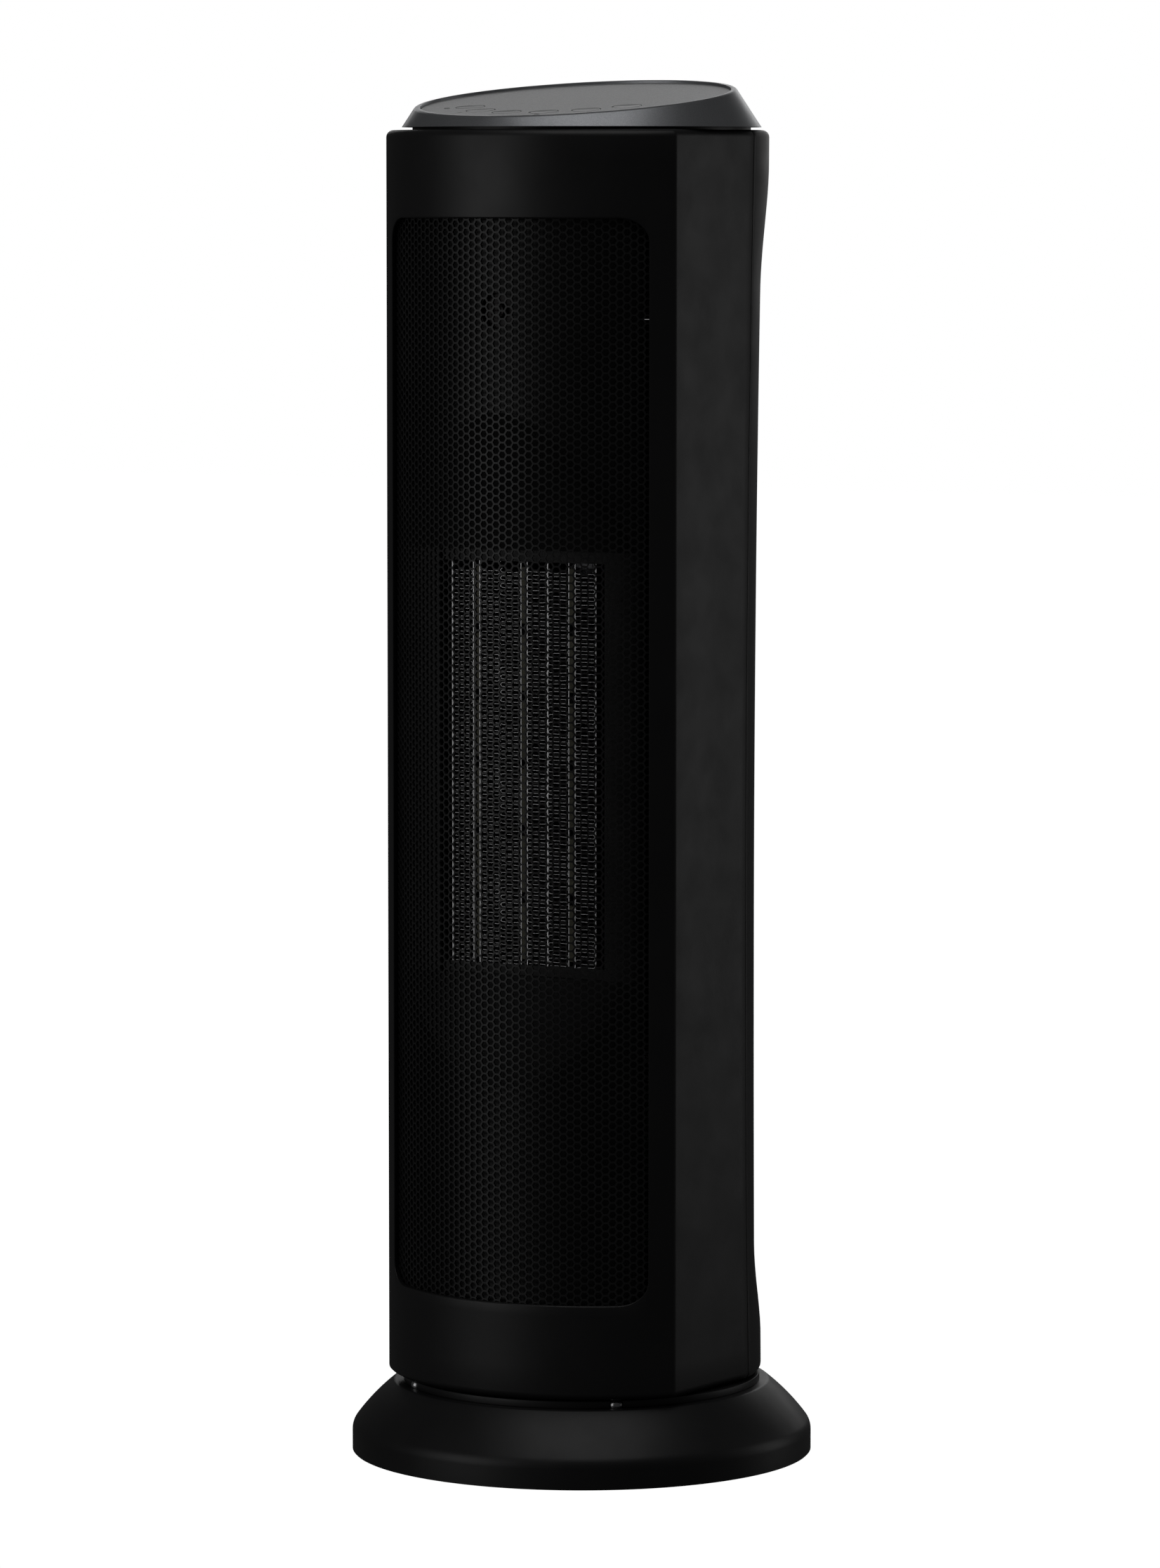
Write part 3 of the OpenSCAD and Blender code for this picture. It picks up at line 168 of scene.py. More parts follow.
def choose(obj, kind, test):
    """Selects, in edit mode, the VERT, EDGE or FACE elements that pass the test."""
    bpy.ops.mesh.select_mode(type=kind)
    bpy.ops.mesh.select_all(action="DESELECT")
    mesh = bmesh.from_edit_mesh(obj.data)
    found = {"VERT": mesh.verts, "EDGE": mesh.edges, "FACE": mesh.faces}[kind]
    count = 0
    for element in found:
        if test(element):
            element.select_set(True)
            count += 1
    bmesh.update_edit_mesh(obj.data)
    return count


def modify(obj, kind, **settings):
    """Adds one modifier to obj and applies it."""
    take(obj)
    change = obj.modifiers.new(kind.title(), kind)
    for key, value in settings.items():
        setattr(change, key, value)
    bpy.ops.object.modifier_apply(modifier=change.name)
    return obj


def carve(obj, cutter):
    """Cuts cutter out of obj and removes cutter."""
    modify(obj, "BOOLEAN", object=cutter, operation="DIFFERENCE", solver="EXACT")
    bpy.data.objects.remove(cutter, do_unlink=True)
    return obj


def tidy_mesh(obj, distance=1e-6):
    """Merges doubles and turns the faces outwards."""
    edit(obj)
    bpy.ops.mesh.select_all(action="SELECT")
    bpy.ops.mesh.remove_doubles(threshold=distance)
    bpy.ops.mesh.normals_make_consistent(inside=False)
    bpy.ops.object.mode_set(mode="OBJECT")
    return obj


def round_edges(obj, width, segments=2, sharp=35.0, where=None):
    """Bevels the edges sharper than an angle, all of them or those whose middle passes where."""
    edit(obj)
    limit = math.radians(sharp)

    def is_sharp(edge):
        if len(edge.link_faces) != 2 or edge.calc_face_angle(0.0) < limit:
            return False
        return where is None or where((edge.verts[0].co + edge.verts[1].co) / 2)

    if choose(obj, "EDGE", is_sharp):
        bpy.ops.mesh.bevel(
            offset=width, segments=segments, affect="EDGES", clamp_overlap=False, loop_slide=False
        )
    bpy.ops.object.mode_set(mode="OBJECT")
    return obj


def smooth(obj, angle=32.0):
    """Smooth shading up to an angle."""
    take(obj)
    bpy.ops.object.shade_smooth_by_angle(angle=math.radians(angle))
    return obj


def place(obj, matrix):
    """Puts the mesh where matrix says and leaves the object at the origin."""
    obj.matrix_world = matrix @ obj.matrix_world
    take(obj)
    bpy.ops.object.transform_apply(location=True, rotation=True, scale=True)
    return obj


def join(name, parts):
    """One object from several."""
    clear()
    for part in parts:
        part.select_set(True)
    bpy.context.view_layer.objects.active = parts[0]
    bpy.ops.object.join()
    return named(name)


def settle(obj, node):
    """Finishes a piece that stands for a CAD node: place, body, slot and finish."""
    take(obj)
    bpy.ops.object.transform_apply(location=True, rotation=True, scale=True)
    bodies = frame["record"]["behaviour"]["bodies"]
    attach(obj, next(body for body, nodes in bodies.items() if node in nodes))
    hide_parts(node)
    obj.data.materials.clear()
    obj.data.materials.append(finish_for(SLOT_OF[node]))
    return obj


def block(name, low, high):
    """Box between two corners."""
    clear()
    middle = [(a + b) / 2 for a, b in zip(low, high)]
    extent = [b - a for a, b in zip(low, high)]
    bpy.ops.mesh.primitive_cube_add(size=1, location=middle, scale=extent)
    obj = named(name)
    bpy.ops.object.transform_apply(location=True, rotation=True, scale=True)
    return obj


def drum(name, radius, z0, z1, centre=(0, 0), sides=64, top=None):
    """Cylinder or cone about a vertical axis."""
    clear()
    middle = (centre[0], centre[1], (z0 + z1) / 2)
    bpy.ops.mesh.primitive_cone_add(
        vertices=sides, radius1=radius, radius2=radius if top is None else top,
        depth=z1 - z0, location=middle,
    )
    obj = named(name)
    bpy.ops.object.transform_apply(location=True, rotation=True, scale=True)
    return obj


def spun(name, profile, steps=192):
    """Turns a profile of (radius, height) points once round the vertical axis."""
    def where(i, j):
        radius, height = profile[i]
        turn = 2 * math.pi * j / steps
        return (radius * math.cos(turn), radius * math.sin(turn), height)

    obj = draped(name, len(profile), steps + 1, where)
    tidy_mesh(obj, 2e-6)
    return obj


def slab(name, width, height, corner, y0, y1, zc):
    """Prism with round corners in X and Z, from y0 back to y1."""
    obj = block(name, (-width / 2, y0, zc - height / 2), (width / 2, y1, zc + height / 2))
    edit(obj)
    choose(obj, "EDGE", lambda e: abs(e.verts[0].co.y - e.verts[1].co.y) > (y1 - y0) / 2)
    bpy.ops.mesh.bevel(offset=corner, segments=8, affect="EDGES")
    bpy.ops.object.mode_set(mode="OBJECT")
    return obj


def draped(name, columns, rows, where):
    """Grid whose point (i, j) is moved to where(i, j)."""
    clear()
    bpy.ops.mesh.primitive_grid_add(x_subdivisions=columns - 1, y_subdivisions=rows - 1, size=2)
    obj = named(name)
    for vertex in obj.data.vertices:
        i = round((vertex.co.x + 1) / 2 * (columns - 1))
        j = round((vertex.co.y + 1) / 2 * (rows - 1))
        vertex.co = where(i, j)
    return obj


def refined(node, name=None, width=0.0004, segments=2, sharp=30.0):
    """Copy of a CAD node's mesh with its loose triangles merged and its edges broken."""
    source = frame["nodes"][node]
    obj = source.copy()
    obj.data = source.data.copy()
    obj.parent = None
    obj.matrix_world = Matrix.Identity(4)
    obj.name = name or node + "_fine"
    bpy.context.scene.collection.objects.link(obj)
    edit(obj)
    bpy.ops.mesh.select_all(action="SELECT")
    bpy.ops.mesh.remove_doubles(threshold=2e-6)
    bpy.ops.mesh.select_all(action="SELECT")
    bpy.ops.mesh.dissolve_limited(angle_limit=math.radians(0.5))
    bpy.ops.object.mode_set(mode="OBJECT")
    if width:
        modify(obj, "BEVEL", width=width, segments=segments, limit_method="ANGLE",
               angle_limit=math.radians(sharp), use_clamp_overlap=True, harden_normals=False)
    return smooth(obj)


# ----------------------------------------------------------------- finishes


class Wire:
    """A node's output, or a number, with arithmetic that adds Math nodes."""

    def __init__(self, finish, socket):
        self.finish = finish
        self.socket = socket

    def joined(self, operation, first, second):
        return self.finish.node("ShaderNodeMath", {"operation": operation}, {0: first, 1: second})

    def __add__(self, other):
        return self.joined("ADD", self, other)

    __radd__ = __add__

    def __mul__(self, other):
        return self.joined("MULTIPLY", self, other)

    __rmul__ = __mul__

    def __sub__(self, other):
        return self.joined("SUBTRACT", self, other)

    def __rsub__(self, other):
        return self.joined("SUBTRACT", other, self)

    def __gt__(self, other):
        return self.joined("GREATER_THAN", self, other)

    def part(self, name):
        """Another output of the same node."""
        return Wire(self.finish, self.socket.node.outputs[name])


class Finish:
    """One material on a Principled shader, read from Object coordinates."""

    def __init__(self, name, **fixed):
        self.material = bpy.data.materials.new(name)
        self.material.use_nodes = True
        self.tree = self.material.node_tree
        self.shader = self.tree.nodes["Principled BSDF"]
        for key, value in fixed.items():
            self.put(self.shader.inputs[key.replace("_", " ")], value)
        self.spot = self.node("ShaderNodeTexCoord").part("Object")

    def node(self, kind, settings=None, sockets=None):
        """Adds a node: its settings first, then its sockets' values or links."""
        made = self.tree.nodes.new(kind)
        for key, value in (settings or {}).items():
            setattr(made, key, value)
        for key, value in (sockets or {}).items():
            self.put(made.inputs[key], value)
        return Wire(self, made.outputs[0])

    def put(self, socket, value):
        """Sets a socket to a number or colour, or links a wire to it."""
        if isinstance(value, Wire):
            value = value.socket
        if isinstance(value, bpy.types.NodeSocket):
            self.tree.links.new(value, socket)
        elif isinstance(value, tuple) and len(value) == 3 and socket.type == "RGBA":
            socket.default_value = (*value, 1.0)
        else:
            socket.default_value = value

    def feed(self, name, value):
        """Feeds one of the shader's sockets."""
        self.put(self.shader.inputs[name], value)
        return self

    def noise(self, scale, detail=2.0, stretch=None):
        """Noise from 0 to 1 at a number of waves per metre."""
        spot = self.spot
        if stretch:
            spot = self.node("ShaderNodeMapping", {}, {"Vector": spot, "Scale": stretch})
        return self.node("ShaderNodeTexNoise", {}, {
            "Vector": spot, "Scale": scale, "Detail": detail})

    def flakes(self, scale):
        """A random number for each small cell."""
        cells = self.node("ShaderNodeTexVoronoi", {}, {"Vector": self.spot, "Scale": scale})
        return self.node("ShaderNodeSeparateColor", {}, {"Color": cells.part("Color")})

    def blend(self, factor, first, second):
        """Mix of two colours."""
        made = self.tree.nodes.new("ShaderNodeMix")
        made.data_type = "RGBA"
        self.put(made.inputs["Factor"], factor)
        self.put(made.inputs[6], first)
        self.put(made.inputs[7], second)
        return Wire(self, made.outputs[2])

    def stretch_range(self, value, low, high):
        """Maps the middle of a noise to the range from low to high."""
        return self.node("ShaderNodeMapRange", {}, {
            "Value": value, "From Min": 0.3, "From Max": 0.7, "To Min": low, "To Max": high})

    def relief(self, height, distance, strength):
        """Bump that feeds the shader's normal."""
        bump = self.node("ShaderNodeBump", {}, {
            "Height": height, "Distance": distance, "Strength": strength})
        self.feed("Normal", bump)


def moulded(name, dark, light, rough, grain=1500.0, depth=0.00004, ior=1.5, coat=0.0):
    """Moulded plastic: a fine spark-eroded grain, faint mottling and handling marks."""
    f = Finish(name, IOR=ior, Coat_Weight=coat, Coat_Roughness=0.25)
    cloud = f.noise(14.0, 3.0)
    fine = f.noise(grain, 2.0)
    f.feed("Base Color", f.blend(f.stretch_range(cloud, 0.0, 1.0), dark, light))
    f.feed("Roughness", f.stretch_range(f.noise(55.0, 4.0), rough - 0.03, rough + 0.04))
    f.relief(fine, depth, 0.35)
    return f.material


def metal(name, tint, rough, grain=(1.0, 1.0, 1.0), scale=900.0, depth=0.00002):
    """Bare or plated metal with fine marks that may run one way."""
    f = Finish(name, Metallic=1.0)
    marks = f.noise(scale, 3.0, grain)
    dull = tuple(c * 0.72 for c in tint)
    f.feed("Base Color", f.blend(f.stretch_range(f.noise(60.0, 3.0), 0.0, 1.0), dull, tint))
    f.feed("Roughness", f.stretch_range(marks, rough - 0.06, rough + 0.1))
    f.relief(marks, depth, 0.4)
    return f.material


def shell_black():
    return moulded("satin_black_shell", (0.0085, 0.0085, 0.009), (0.0115, 0.0115, 0.0122), 0.42)


def base_black():
    return moulded("satin_black_base", (0.0085, 0.0085, 0.009), (0.0115, 0.0115, 0.0122), 0.42)


def inner_black():
    return moulded("inner_black_plastic", (0.006, 0.006, 0.0062), (0.010, 0.010, 0.0104), 0.5)


def inner_grey():
    return moulded("inner_grey_plastic", (0.10, 0.10, 0.104), (0.13, 0.13, 0.135), 0.5)


def natural_plastic():
    return moulded("natural_acetal", (0.70, 0.69, 0.63), (0.80, 0.79, 0.74), 0.38)


def signal_orange():
    return moulded("orange_plastic", (0.60, 0.16, 0.04), (0.72, 0.22, 0.06), 0.4)


def relay_blue():
    return moulded("blue_relay_case", (0.025, 0.05, 0.26), (0.035, 0.07, 0.32), 0.25)


def ceramic():
    return moulded("unglazed_stone", (0.17, 0.165, 0.12), (0.26, 0.25, 0.19), 0.75, 700.0, 0.00008)


def lens_dark():
    return moulded("dark_window", (0.006, 0.001, 0.002), (0.009, 0.002, 0.003), 0.32,
                   60.0, 0.0, 1.35)


def cap_grey():
    """Satin gunmetal paint with a very fine flake."""
    f = Finish("gunmetal_paint", IOR=1.5, Coat_Weight=0.25, Coat_Roughness=0.2)
    flake = f.flakes(5200.0)
    f.feed("Base Color", f.blend(flake * 0.8, (0.33, 0.34, 0.36), (0.50, 0.51, 0.53)))
    f.feed("Metallic", 0.7 + 0.2 * flake)
    f.feed("Roughness", f.stretch_range(f.noise(70.0, 3.0), 0.36, 0.42))
    f.relief(f.noise(1800.0), 0.00003, 0.3)
    return f.material


def panel_grey():
    """Metallic film whose speckle shows as lighter and darker grains."""
    f = Finish("speckled_film", IOR=1.5, Coat_Weight=0.15, Coat_Roughness=0.3)
    grain = f.flakes(3000.0)
    fine = f.noise(1700.0, 3.0)
    shade = f.stretch_range(fine, 0.0, 0.6) + 0.4 * grain
    f.feed("Base Color", f.blend(shade, (0.36, 0.365, 0.375), (0.78, 0.785, 0.795)))
    f.feed("Metallic", 0.6 + 0.3 * grain)
    f.feed("Roughness", f.stretch_range(fine, 0.4, 0.52))
    f.relief(fine, 0.00004, 0.35)
    return f.material


def button_grey():
    f = Finish("satin_button", IOR=1.5, Metallic=0.65)
    fine = f.noise(1500.0, 2.0)
    shade = f.stretch_range(fine, 0.0, 1.0)
    f.feed("Base Color", f.blend(shade, (0.45, 0.455, 0.465), (0.55, 0.555, 0.565)))
    f.feed("Roughness", f.stretch_range(f.noise(90.0), 0.34, 0.42))
    f.relief(fine, 0.00002, 0.3)
    return f.material


def mark_white():
    """Printed marks."""
    f = Finish("printed_mark", IOR=1.5)
    f.feed("Base Color", f.blend(f.noise(900.0), (0.5, 0.5, 0.5), (0.62, 0.62, 0.62)))
    f.feed("Roughness", f.stretch_range(f.noise(900.0), 0.5, 0.6))
    return f.material


def mesh_black():
    """Black paint on a pierced sheet."""
    f = Finish("mesh_paint", IOR=1.5)
    fine = f.noise(1300.0, 2.0)
    shade = f.stretch_range(f.noise(40.0), 0.0, 1.0)
    f.feed("Base Color", f.blend(shade, (0.010, 0.010, 0.0105), (0.016, 0.016, 0.0165)))
    f.feed("Roughness", f.stretch_range(fine, 0.36, 0.46))
    f.relief(fine, 0.00003, 0.3)
    return f.material


def steel():
    return metal("bright_zinc", (0.62, 0.62, 0.63), 0.22)


def aluminium():
    return metal("rolled_aluminium", (0.80, 0.80, 0.81), 0.3, (1.0, 0.2, 1.0))


def bronze():
    return metal("sintered_bronze", (0.60, 0.42, 0.2), 0.42, (1.0, 1.0, 1.0), 2400.0, 0.00005)


def lamination():
    """Stacked sheet steel: dark lines between the sheets."""
    f = Finish("stacked_sheets", Metallic=0.9)
    height = f.node("ShaderNodeSeparateXYZ", {}, {"Vector": f.spot}).part("Z")
    wave = f.node("ShaderNodeMath", {"operation": "PINGPONG"}, {0: height, 1: 0.00025})
    line = f.node("ShaderNodeMath", {"operation": "LESS_THAN"}, {0: wave, 1: 0.00005})
    f.feed("Base Color", f.blend(line, (0.30, 0.30, 0.31), (0.07, 0.06, 0.055)))
    f.feed("Roughness", f.stretch_range(f.noise(400.0, 3.0), 0.38, 0.55))
    f.relief(line, 0.00005, 0.3)
    return f.material


def copper():
    """Layers of enamelled wire."""
    f = Finish("enamelled_winding", Metallic=0.85, Coat_Weight=0.5, Coat_Roughness=0.15)
    height = f.node("ShaderNodeSeparateXYZ", {}, {"Vector": f.spot}).part("Y")
    wave = f.node("ShaderNodeMath", {"operation": "PINGPONG"}, {0: height, 1: 0.0002})
    f.feed("Base Color", f.blend(wave * 5000.0, (0.22, 0.09, 0.03), (0.66, 0.31, 0.12)))
    f.feed("Roughness", f.stretch_range(f.noise(300.0), 0.28, 0.4))
    f.relief(wave, 0.4, 0.5)
    return f.material


def rubber():
    return moulded("soft_rubber", (0.018, 0.018, 0.018), (0.032, 0.032, 0.032), 0.78,
                   900.0, 0.00008)


def foam():
    """Open foam: pores of one size."""
    f = Finish("filter_foam", IOR=1.4, Roughness=0.95)
    pores = f.node("ShaderNodeTexVoronoi", {}, {"Vector": f.spot, "Scale": 900.0})
    shade = f.stretch_range(pores, 0.0, 1.0)
    f.feed("Base Color", f.blend(shade, (0.015, 0.015, 0.015), (0.07, 0.07, 0.07)))
    f.relief(pores, 0.0006, 0.9)
    return f.material


def board_green():
    """Solder mask with faint tracks under it."""
    f = Finish("solder_mask", IOR=1.5, Coat_Weight=0.4, Coat_Roughness=0.2)
    tracks = f.node("ShaderNodeTexBrick", {}, {
        "Vector": f.spot, "Scale": 90.0, "Color1": (0.0, 0.0, 0.0), "Color2": (0.25, 0.25, 0.25),
        "Mortar": (1.0, 1.0, 1.0), "Mortar Size": 0.05})
    f.feed("Base Color", f.blend(tracks, (0.018, 0.11, 0.035), (0.05, 0.21, 0.075)))
    f.feed("Roughness", f.stretch_range(f.noise(200.0), 0.28, 0.36))
    f.relief(tracks, 0.00005, 0.3)
    return f.material


FINISHES = {
    "shell_black": shell_black, "base_black": base_black, "inner_black": inner_black,
    "inner_grey": inner_grey, "natural_plastic": natural_plastic, "cap_grey": cap_grey,
    "panel_grey": panel_grey, "button_grey": button_grey, "mesh_black": mesh_black,
    "steel": steel, "lamination": lamination, "aluminium": aluminium, "ceramic": ceramic,
    "copper": copper, "bronze": bronze, "rubber": rubber, "foam": foam,
    "board_green": board_green, "relay_blue": relay_blue, "signal_orange": signal_orange,
    "lens_dark": lens_dark,
}
made_finishes = {}


def finish_for(slot):
    """The finish of a material slot, made once."""
    if slot not in made_finishes:
        made_finishes[slot] = FINISHES[slot]()
    return made_finishes[slot]


# -------------------------------------------------------------- body shapes


def side_x(y):
    """Half the body's width at y, on its slanted sides."""
    return CORNER_X + (y - CORNER_Y) * SIDE_SLOPE


def seam_y(z):
    """Y of the seam between the shells at height z."""
    above = z > WAIST_Z
    t = (z - WAIST_Z) / ((BODY_Z1 - WAIST_Z) if above else (WAIST_Z - BODY_Z0))
    return SEAM_REACH - 0.0029 + t * t * (0.0052 if above else 0.0029)


def eased(t):
    u = min(1.0, max(0.0, t))
    return u * u * (3 - 2 * u)


def spine_y(z):
    """Y of the centre of the back's curve at height z."""
    low, high = SWELL_LOW, SWELL_HIGH
    t = (min(high[0], max(low[1], z)) - WAIST_Z) / (high[0] - WAIST_Z)
    bow = 0.0039 * t * abs(t) * (1.0 if t > 0 else 0.2)
    top = 0.0096 * eased((z - high[0]) / (high[1] - high[0]))
    bottom = 0.0085 * eased((low[1] - z) / (low[1] - low[0]))
    return WAIST_Y + bow + top + bottom


def skin_rows(count):
    """[height, inset] rows of a shell: flange, rounded edge, wall, rounded edge, flange."""
    r = 0.003
    arc = [math.radians(90 * k / 5) for k in range(6)]
    foot = [(BODY_Z0 + r * (1 - math.sin(a)), r * (1 - math.cos(a))) for a in reversed(arc)]
    head = [(BODY_Z1 - r * (1 - math.sin(a)), r * (1 - math.cos(a))) for a in arc]
    span = BODY_Z1 - BODY_Z0 - 2 * r
    wall = [(BODY_Z0 + r + span * k / count, 0.0) for k in range(1, count)]
    flange = (0.0060, 0.0095)
    return ([(BODY_Z0, e) for e in reversed(flange)] + foot + wall + head
            + [(BODY_Z1, e) for e in flange])


def front_outline(z, e):
    """Points of the front shell from the left seam round to the right seam, e inside its skin."""
    ys = seam_y(z) - SEAM_GAP / 2
    inset = e / SIDE_COS
    radius = FACE_R - e

    def wall_x(y):
        return side_x(y) - inset

    # sharp corner of the slanted side and the face, then a small round across it
    y = CORNER_Y
    for _ in range(12):
        y = FACE_CY - math.sqrt(radius**2 - wall_x(y) ** 2)
    corner = Vector((wall_x(y), y))
    back = Vector((wall_x(y + 0.0009), y + 0.0009))
    angle = math.atan2(corner.x, FACE_CY - y) - 0.0009 / radius
    ahead = Vector((radius * math.sin(angle), FACE_CY - radius * math.cos(angle)))
    side = []
    for k in range(10):
        y = ys + (back.y - ys) * k / 10
        side.append(Vector((wall_x(y), y)))
    bend = []
    for k in range(6):
        t = k / 5
        bend.append((1 - t) ** 2 * back + 2 * t * (1 - t) * corner + t * t * ahead)
    face = []
    for k in range(1, 56):
        turn = angle * (1 - k / 56)
        face.append(Vector((radius * math.sin(turn), FACE_CY - radius * math.cos(turn))))
    right = side + bend + face
    middle = Vector((0, FACE_CY - radius))
    left = [Vector((-p.x, p.y)) for p in right]
    return left + [middle] + right[::-1]


def rear_outline(z, e):
    """Points of the rear shell from the right seam round to the left seam, e inside its skin."""
    ys, yc = seam_y(z) + SEAM_GAP / 2, spine_y(z)
    radius = math.hypot(side_x(seam_y(z)), seam_y(z) - yc) - e
    start = math.asin((ys - yc) / radius)
    turns = [start + (math.pi - 2 * start) * k / REAR_STEPS for k in range(REAR_STEPS + 1)]
    return [Vector((radius * math.cos(a), yc + radius * math.sin(a))) for a in turns]


def shell(name, outline, rows):
    """Wall of even thickness through the outlines of all rows."""
    rings = [[(p.x, p.y, z) for p in outline(z, e)] for z, e in rows]
    obj = draped(name, len(rings[0]), len(rings), lambda i, j: rings[j][i])
    # the grid's own winding decides which side the wall grows to
    middle = obj.data.polygons[len(obj.data.polygons) // 2]
    outward = Vector((middle.center.x, middle.center.y - FACE_CY, 0))
    if middle.normal.dot(outward) < 0:
        edit(obj)
        bpy.ops.mesh.select_all(action="SELECT")
        bpy.ops.mesh.flip_normals()
        bpy.ops.object.mode_set(mode="OBJECT")
    modify(obj, "SOLIDIFY", thickness=WALL, offset=-1, use_even_offset=True)
    return obj


# ---------------------------------------------------------------- settings


class HeaterShellSettings(bpy.types.PropertyGroup):
    """Sizes of the shells and of what is cut in them"""

    edge_round: bpy.props.FloatProperty(
        name="Seam rounding", description="Rounding of the shells' edges along the seam",
        default=0.0004, unit="LENGTH")
    opening_round: bpy.props.FloatProperty(
        name="Opening rounding", description="Rounding of the grille opening's edge",
        default=0.0007, unit="LENGTH")
    opening_width: bpy.props.FloatProperty(
        name="Opening width", description="Width of the grille opening",
        default=0.1226, unit="LENGTH")
    opening_corner: bpy.props.FloatProperty(
        name="Opening corner", description="Corner radius of the grille opening",
        default=0.0095, unit="LENGTH")


class HeaterMeshSettings(bpy.types.PropertyGroup):
    """Sizes of the hexagon mesh and the corrugated fins"""

    hex_pitch: bpy.props.FloatProperty(
        name="Cell pitch", description="Height of one hexagon cell", default=0.0034, unit="LENGTH")
    web: bpy.props.FloatProperty(
        name="Web", description="Width of the metal between two cells",
        default=0.0007, unit="LENGTH")
    sheet: bpy.props.FloatProperty(
        name="Sheet", description="Thickness of the mesh", default=0.001, unit="LENGTH")
    fin_pitch: bpy.props.FloatProperty(
        name="Fin pitch", description="Height between two folds of a fin",
        default=0.0016, unit="LENGTH")
    fin_sheet: bpy.props.FloatProperty(
        name="Fin sheet", description="Thickness of the fins' sheet",
        default=0.00016, unit="LENGTH")


class HeaterStageSettings(bpy.types.PropertyGroup):
    """Camera and light"""

    azimuth: bpy.props.FloatProperty(
        name="Camera turn", description="Turn of the camera round the heater from the front",
        default=math.radians(29.0), subtype="ANGLE", unit="ROTATION")
    distance: bpy.props.FloatProperty(
        name="Camera distance", description="Distance from the axis to the camera",
        default=2.88, unit="LENGTH")
    lens: bpy.props.FloatProperty(
        name="Lens", description="Focal length in millimetres, on a 36 mm sensor", default=156.0)
    floor_color: bpy.props.FloatVectorProperty(
        name="Floor", description="Colour of the floor", subtype="COLOR", default=(0.9, 0.9, 0.9))


# --------------------------------------------------------------- operators


class HEATER_OT_base(bpy.types.Operator):
    """Builds the round base and the ring that carries the balls"""

    bl_idname = "heater.base"
    bl_label = "Base"

    def execute(self, context):
        rim_r, rim_h, lean = 0.008, 0.0098, math.radians(38)
        base_r, lift, top, wall = 0.09825, 0.0012, 0.0315, 0.0026
        turn = [math.radians(38) * k / 8 for k in range(9)]
        rim = [(base_r - rim_r + rim_r * math.cos(a), rim_h + rim_r * math.sin(a)) for a in turn]
        foot = Vector((base_r - rim_r + rim_r * math.cos(lean), rim_h + rim_r * math.sin(lean)))
        crest = Vector((0.08, top))
        run = crest - foot
        out = Vector((run.y, -run.x)).normalized()
        slope = []
        for k in range(1, 13):
            t = k / 13
            p = foot + t * run + 4 * 0.0008 * t * (1 - t) * out
            slope.append((p.x, p.y))
        crown = [(0.0806, 0.03105), (0.0802, 0.03132), (0.0796, 0.03146), (0.0788, top)]
        inner = [(0.012, top), (0.012, top - wall), (0.0780, top - wall), (0.0925, 0.0142),
                 (base_r - wall, 0.0105), (base_r - wall, lift)]
        lip = [(base_r - 0.0004, lift), (base_r, lift + 0.0004)]
        profile = lip + rim + slope[:-1] + crown + inner
        profile.append(profile[0])
        cover = spun("base_shell", profile, 256)
        port = drum("gland_port", 0.0055, 0.0, 0.03, sides=48)
        place(port, Matrix.Translation((0, base_r + 0.01, 0.008)) @ LYING)
        carve(cover, port)
        settle(smooth(cover, 30), "base_cover")
        ring = refined("swivel_ring", "ball_ring", 0.0004, 3)
        settle(ring, "swivel_ring")
        return {"FINISHED"}


class HEATER_OT_front_shell(bpy.types.Operator):
    """Builds the curved front shell with its grille opening"""

    bl_idname = "heater.front_shell"
    bl_label = "Front shell"

    def execute(self, context):
        sizes = context.scene.heater_shell
        obj = shell("front_shell", front_outline, skin_rows(48))
        round_edges(obj, sizes.edge_round, 2, 50)
        low, high = OPENING_Z
        cutter = slab("opening_cutter", sizes.opening_width, high - low, sizes.opening_corner,
                      -0.12, -0.035, (low + high) / 2)
        carve(obj, cutter)
        edge = sizes.opening_width / 2 + 0.001

        def at_opening(p):
            return abs(p.x) < edge and p.y < -0.04 and low - 0.001 < p.z < high + 0.001

        round_edges(obj, sizes.opening_round, 3, 40, at_opening)
        settle(smooth(obj, 30), "front_housing")
        return {"FINISHED"}


class HEATER_OT_rear_shell(bpy.types.Operator):
    """Builds the bowed rear shell with its vent, handle and screw openings"""

    bl_idname = "heater.rear_shell"
    bl_label = "Rear shell"

    def execute(self, context):
        sizes = context.scene.heater_shell
        obj = shell("rear_shell", rear_outline, skin_rows(110))
        round_edges(obj, sizes.edge_round, 2, 50)
        carve(obj, slab("vent_cutter", 0.092, 0.2485, 0.008, 0.03, 0.12, 0.27955))
        carve(obj, slab("handle_cutter", 0.096, 0.038, 0.008, 0.03, 0.12, 0.4638))
        for z in SCREW_Z:
            for x in (-SCREW_X, SCREW_X):
                hole = drum("screw_cutter", 0.003, 0.0, 0.06, sides=32)
                place(hole, Matrix.Translation((x, 0.09, z)) @ LYING)
                carve(obj, hole)

        def at_back(p):
            return p.y > 0.022 and BODY_Z0 + 0.004 < p.z < BODY_Z1 - 0.004

        round_edges(obj, 0.0004, 2, 40, at_back)
        settle(smooth(obj, 30), "rear_housing")
        settle(refined("intake_grille", "intake_louvre", 0.0004, 2), "intake_grille")
        settle(refined("handle_cup", "handle_pocket", 0.0006, 2), "handle_cup")
        return {"FINISHED"}


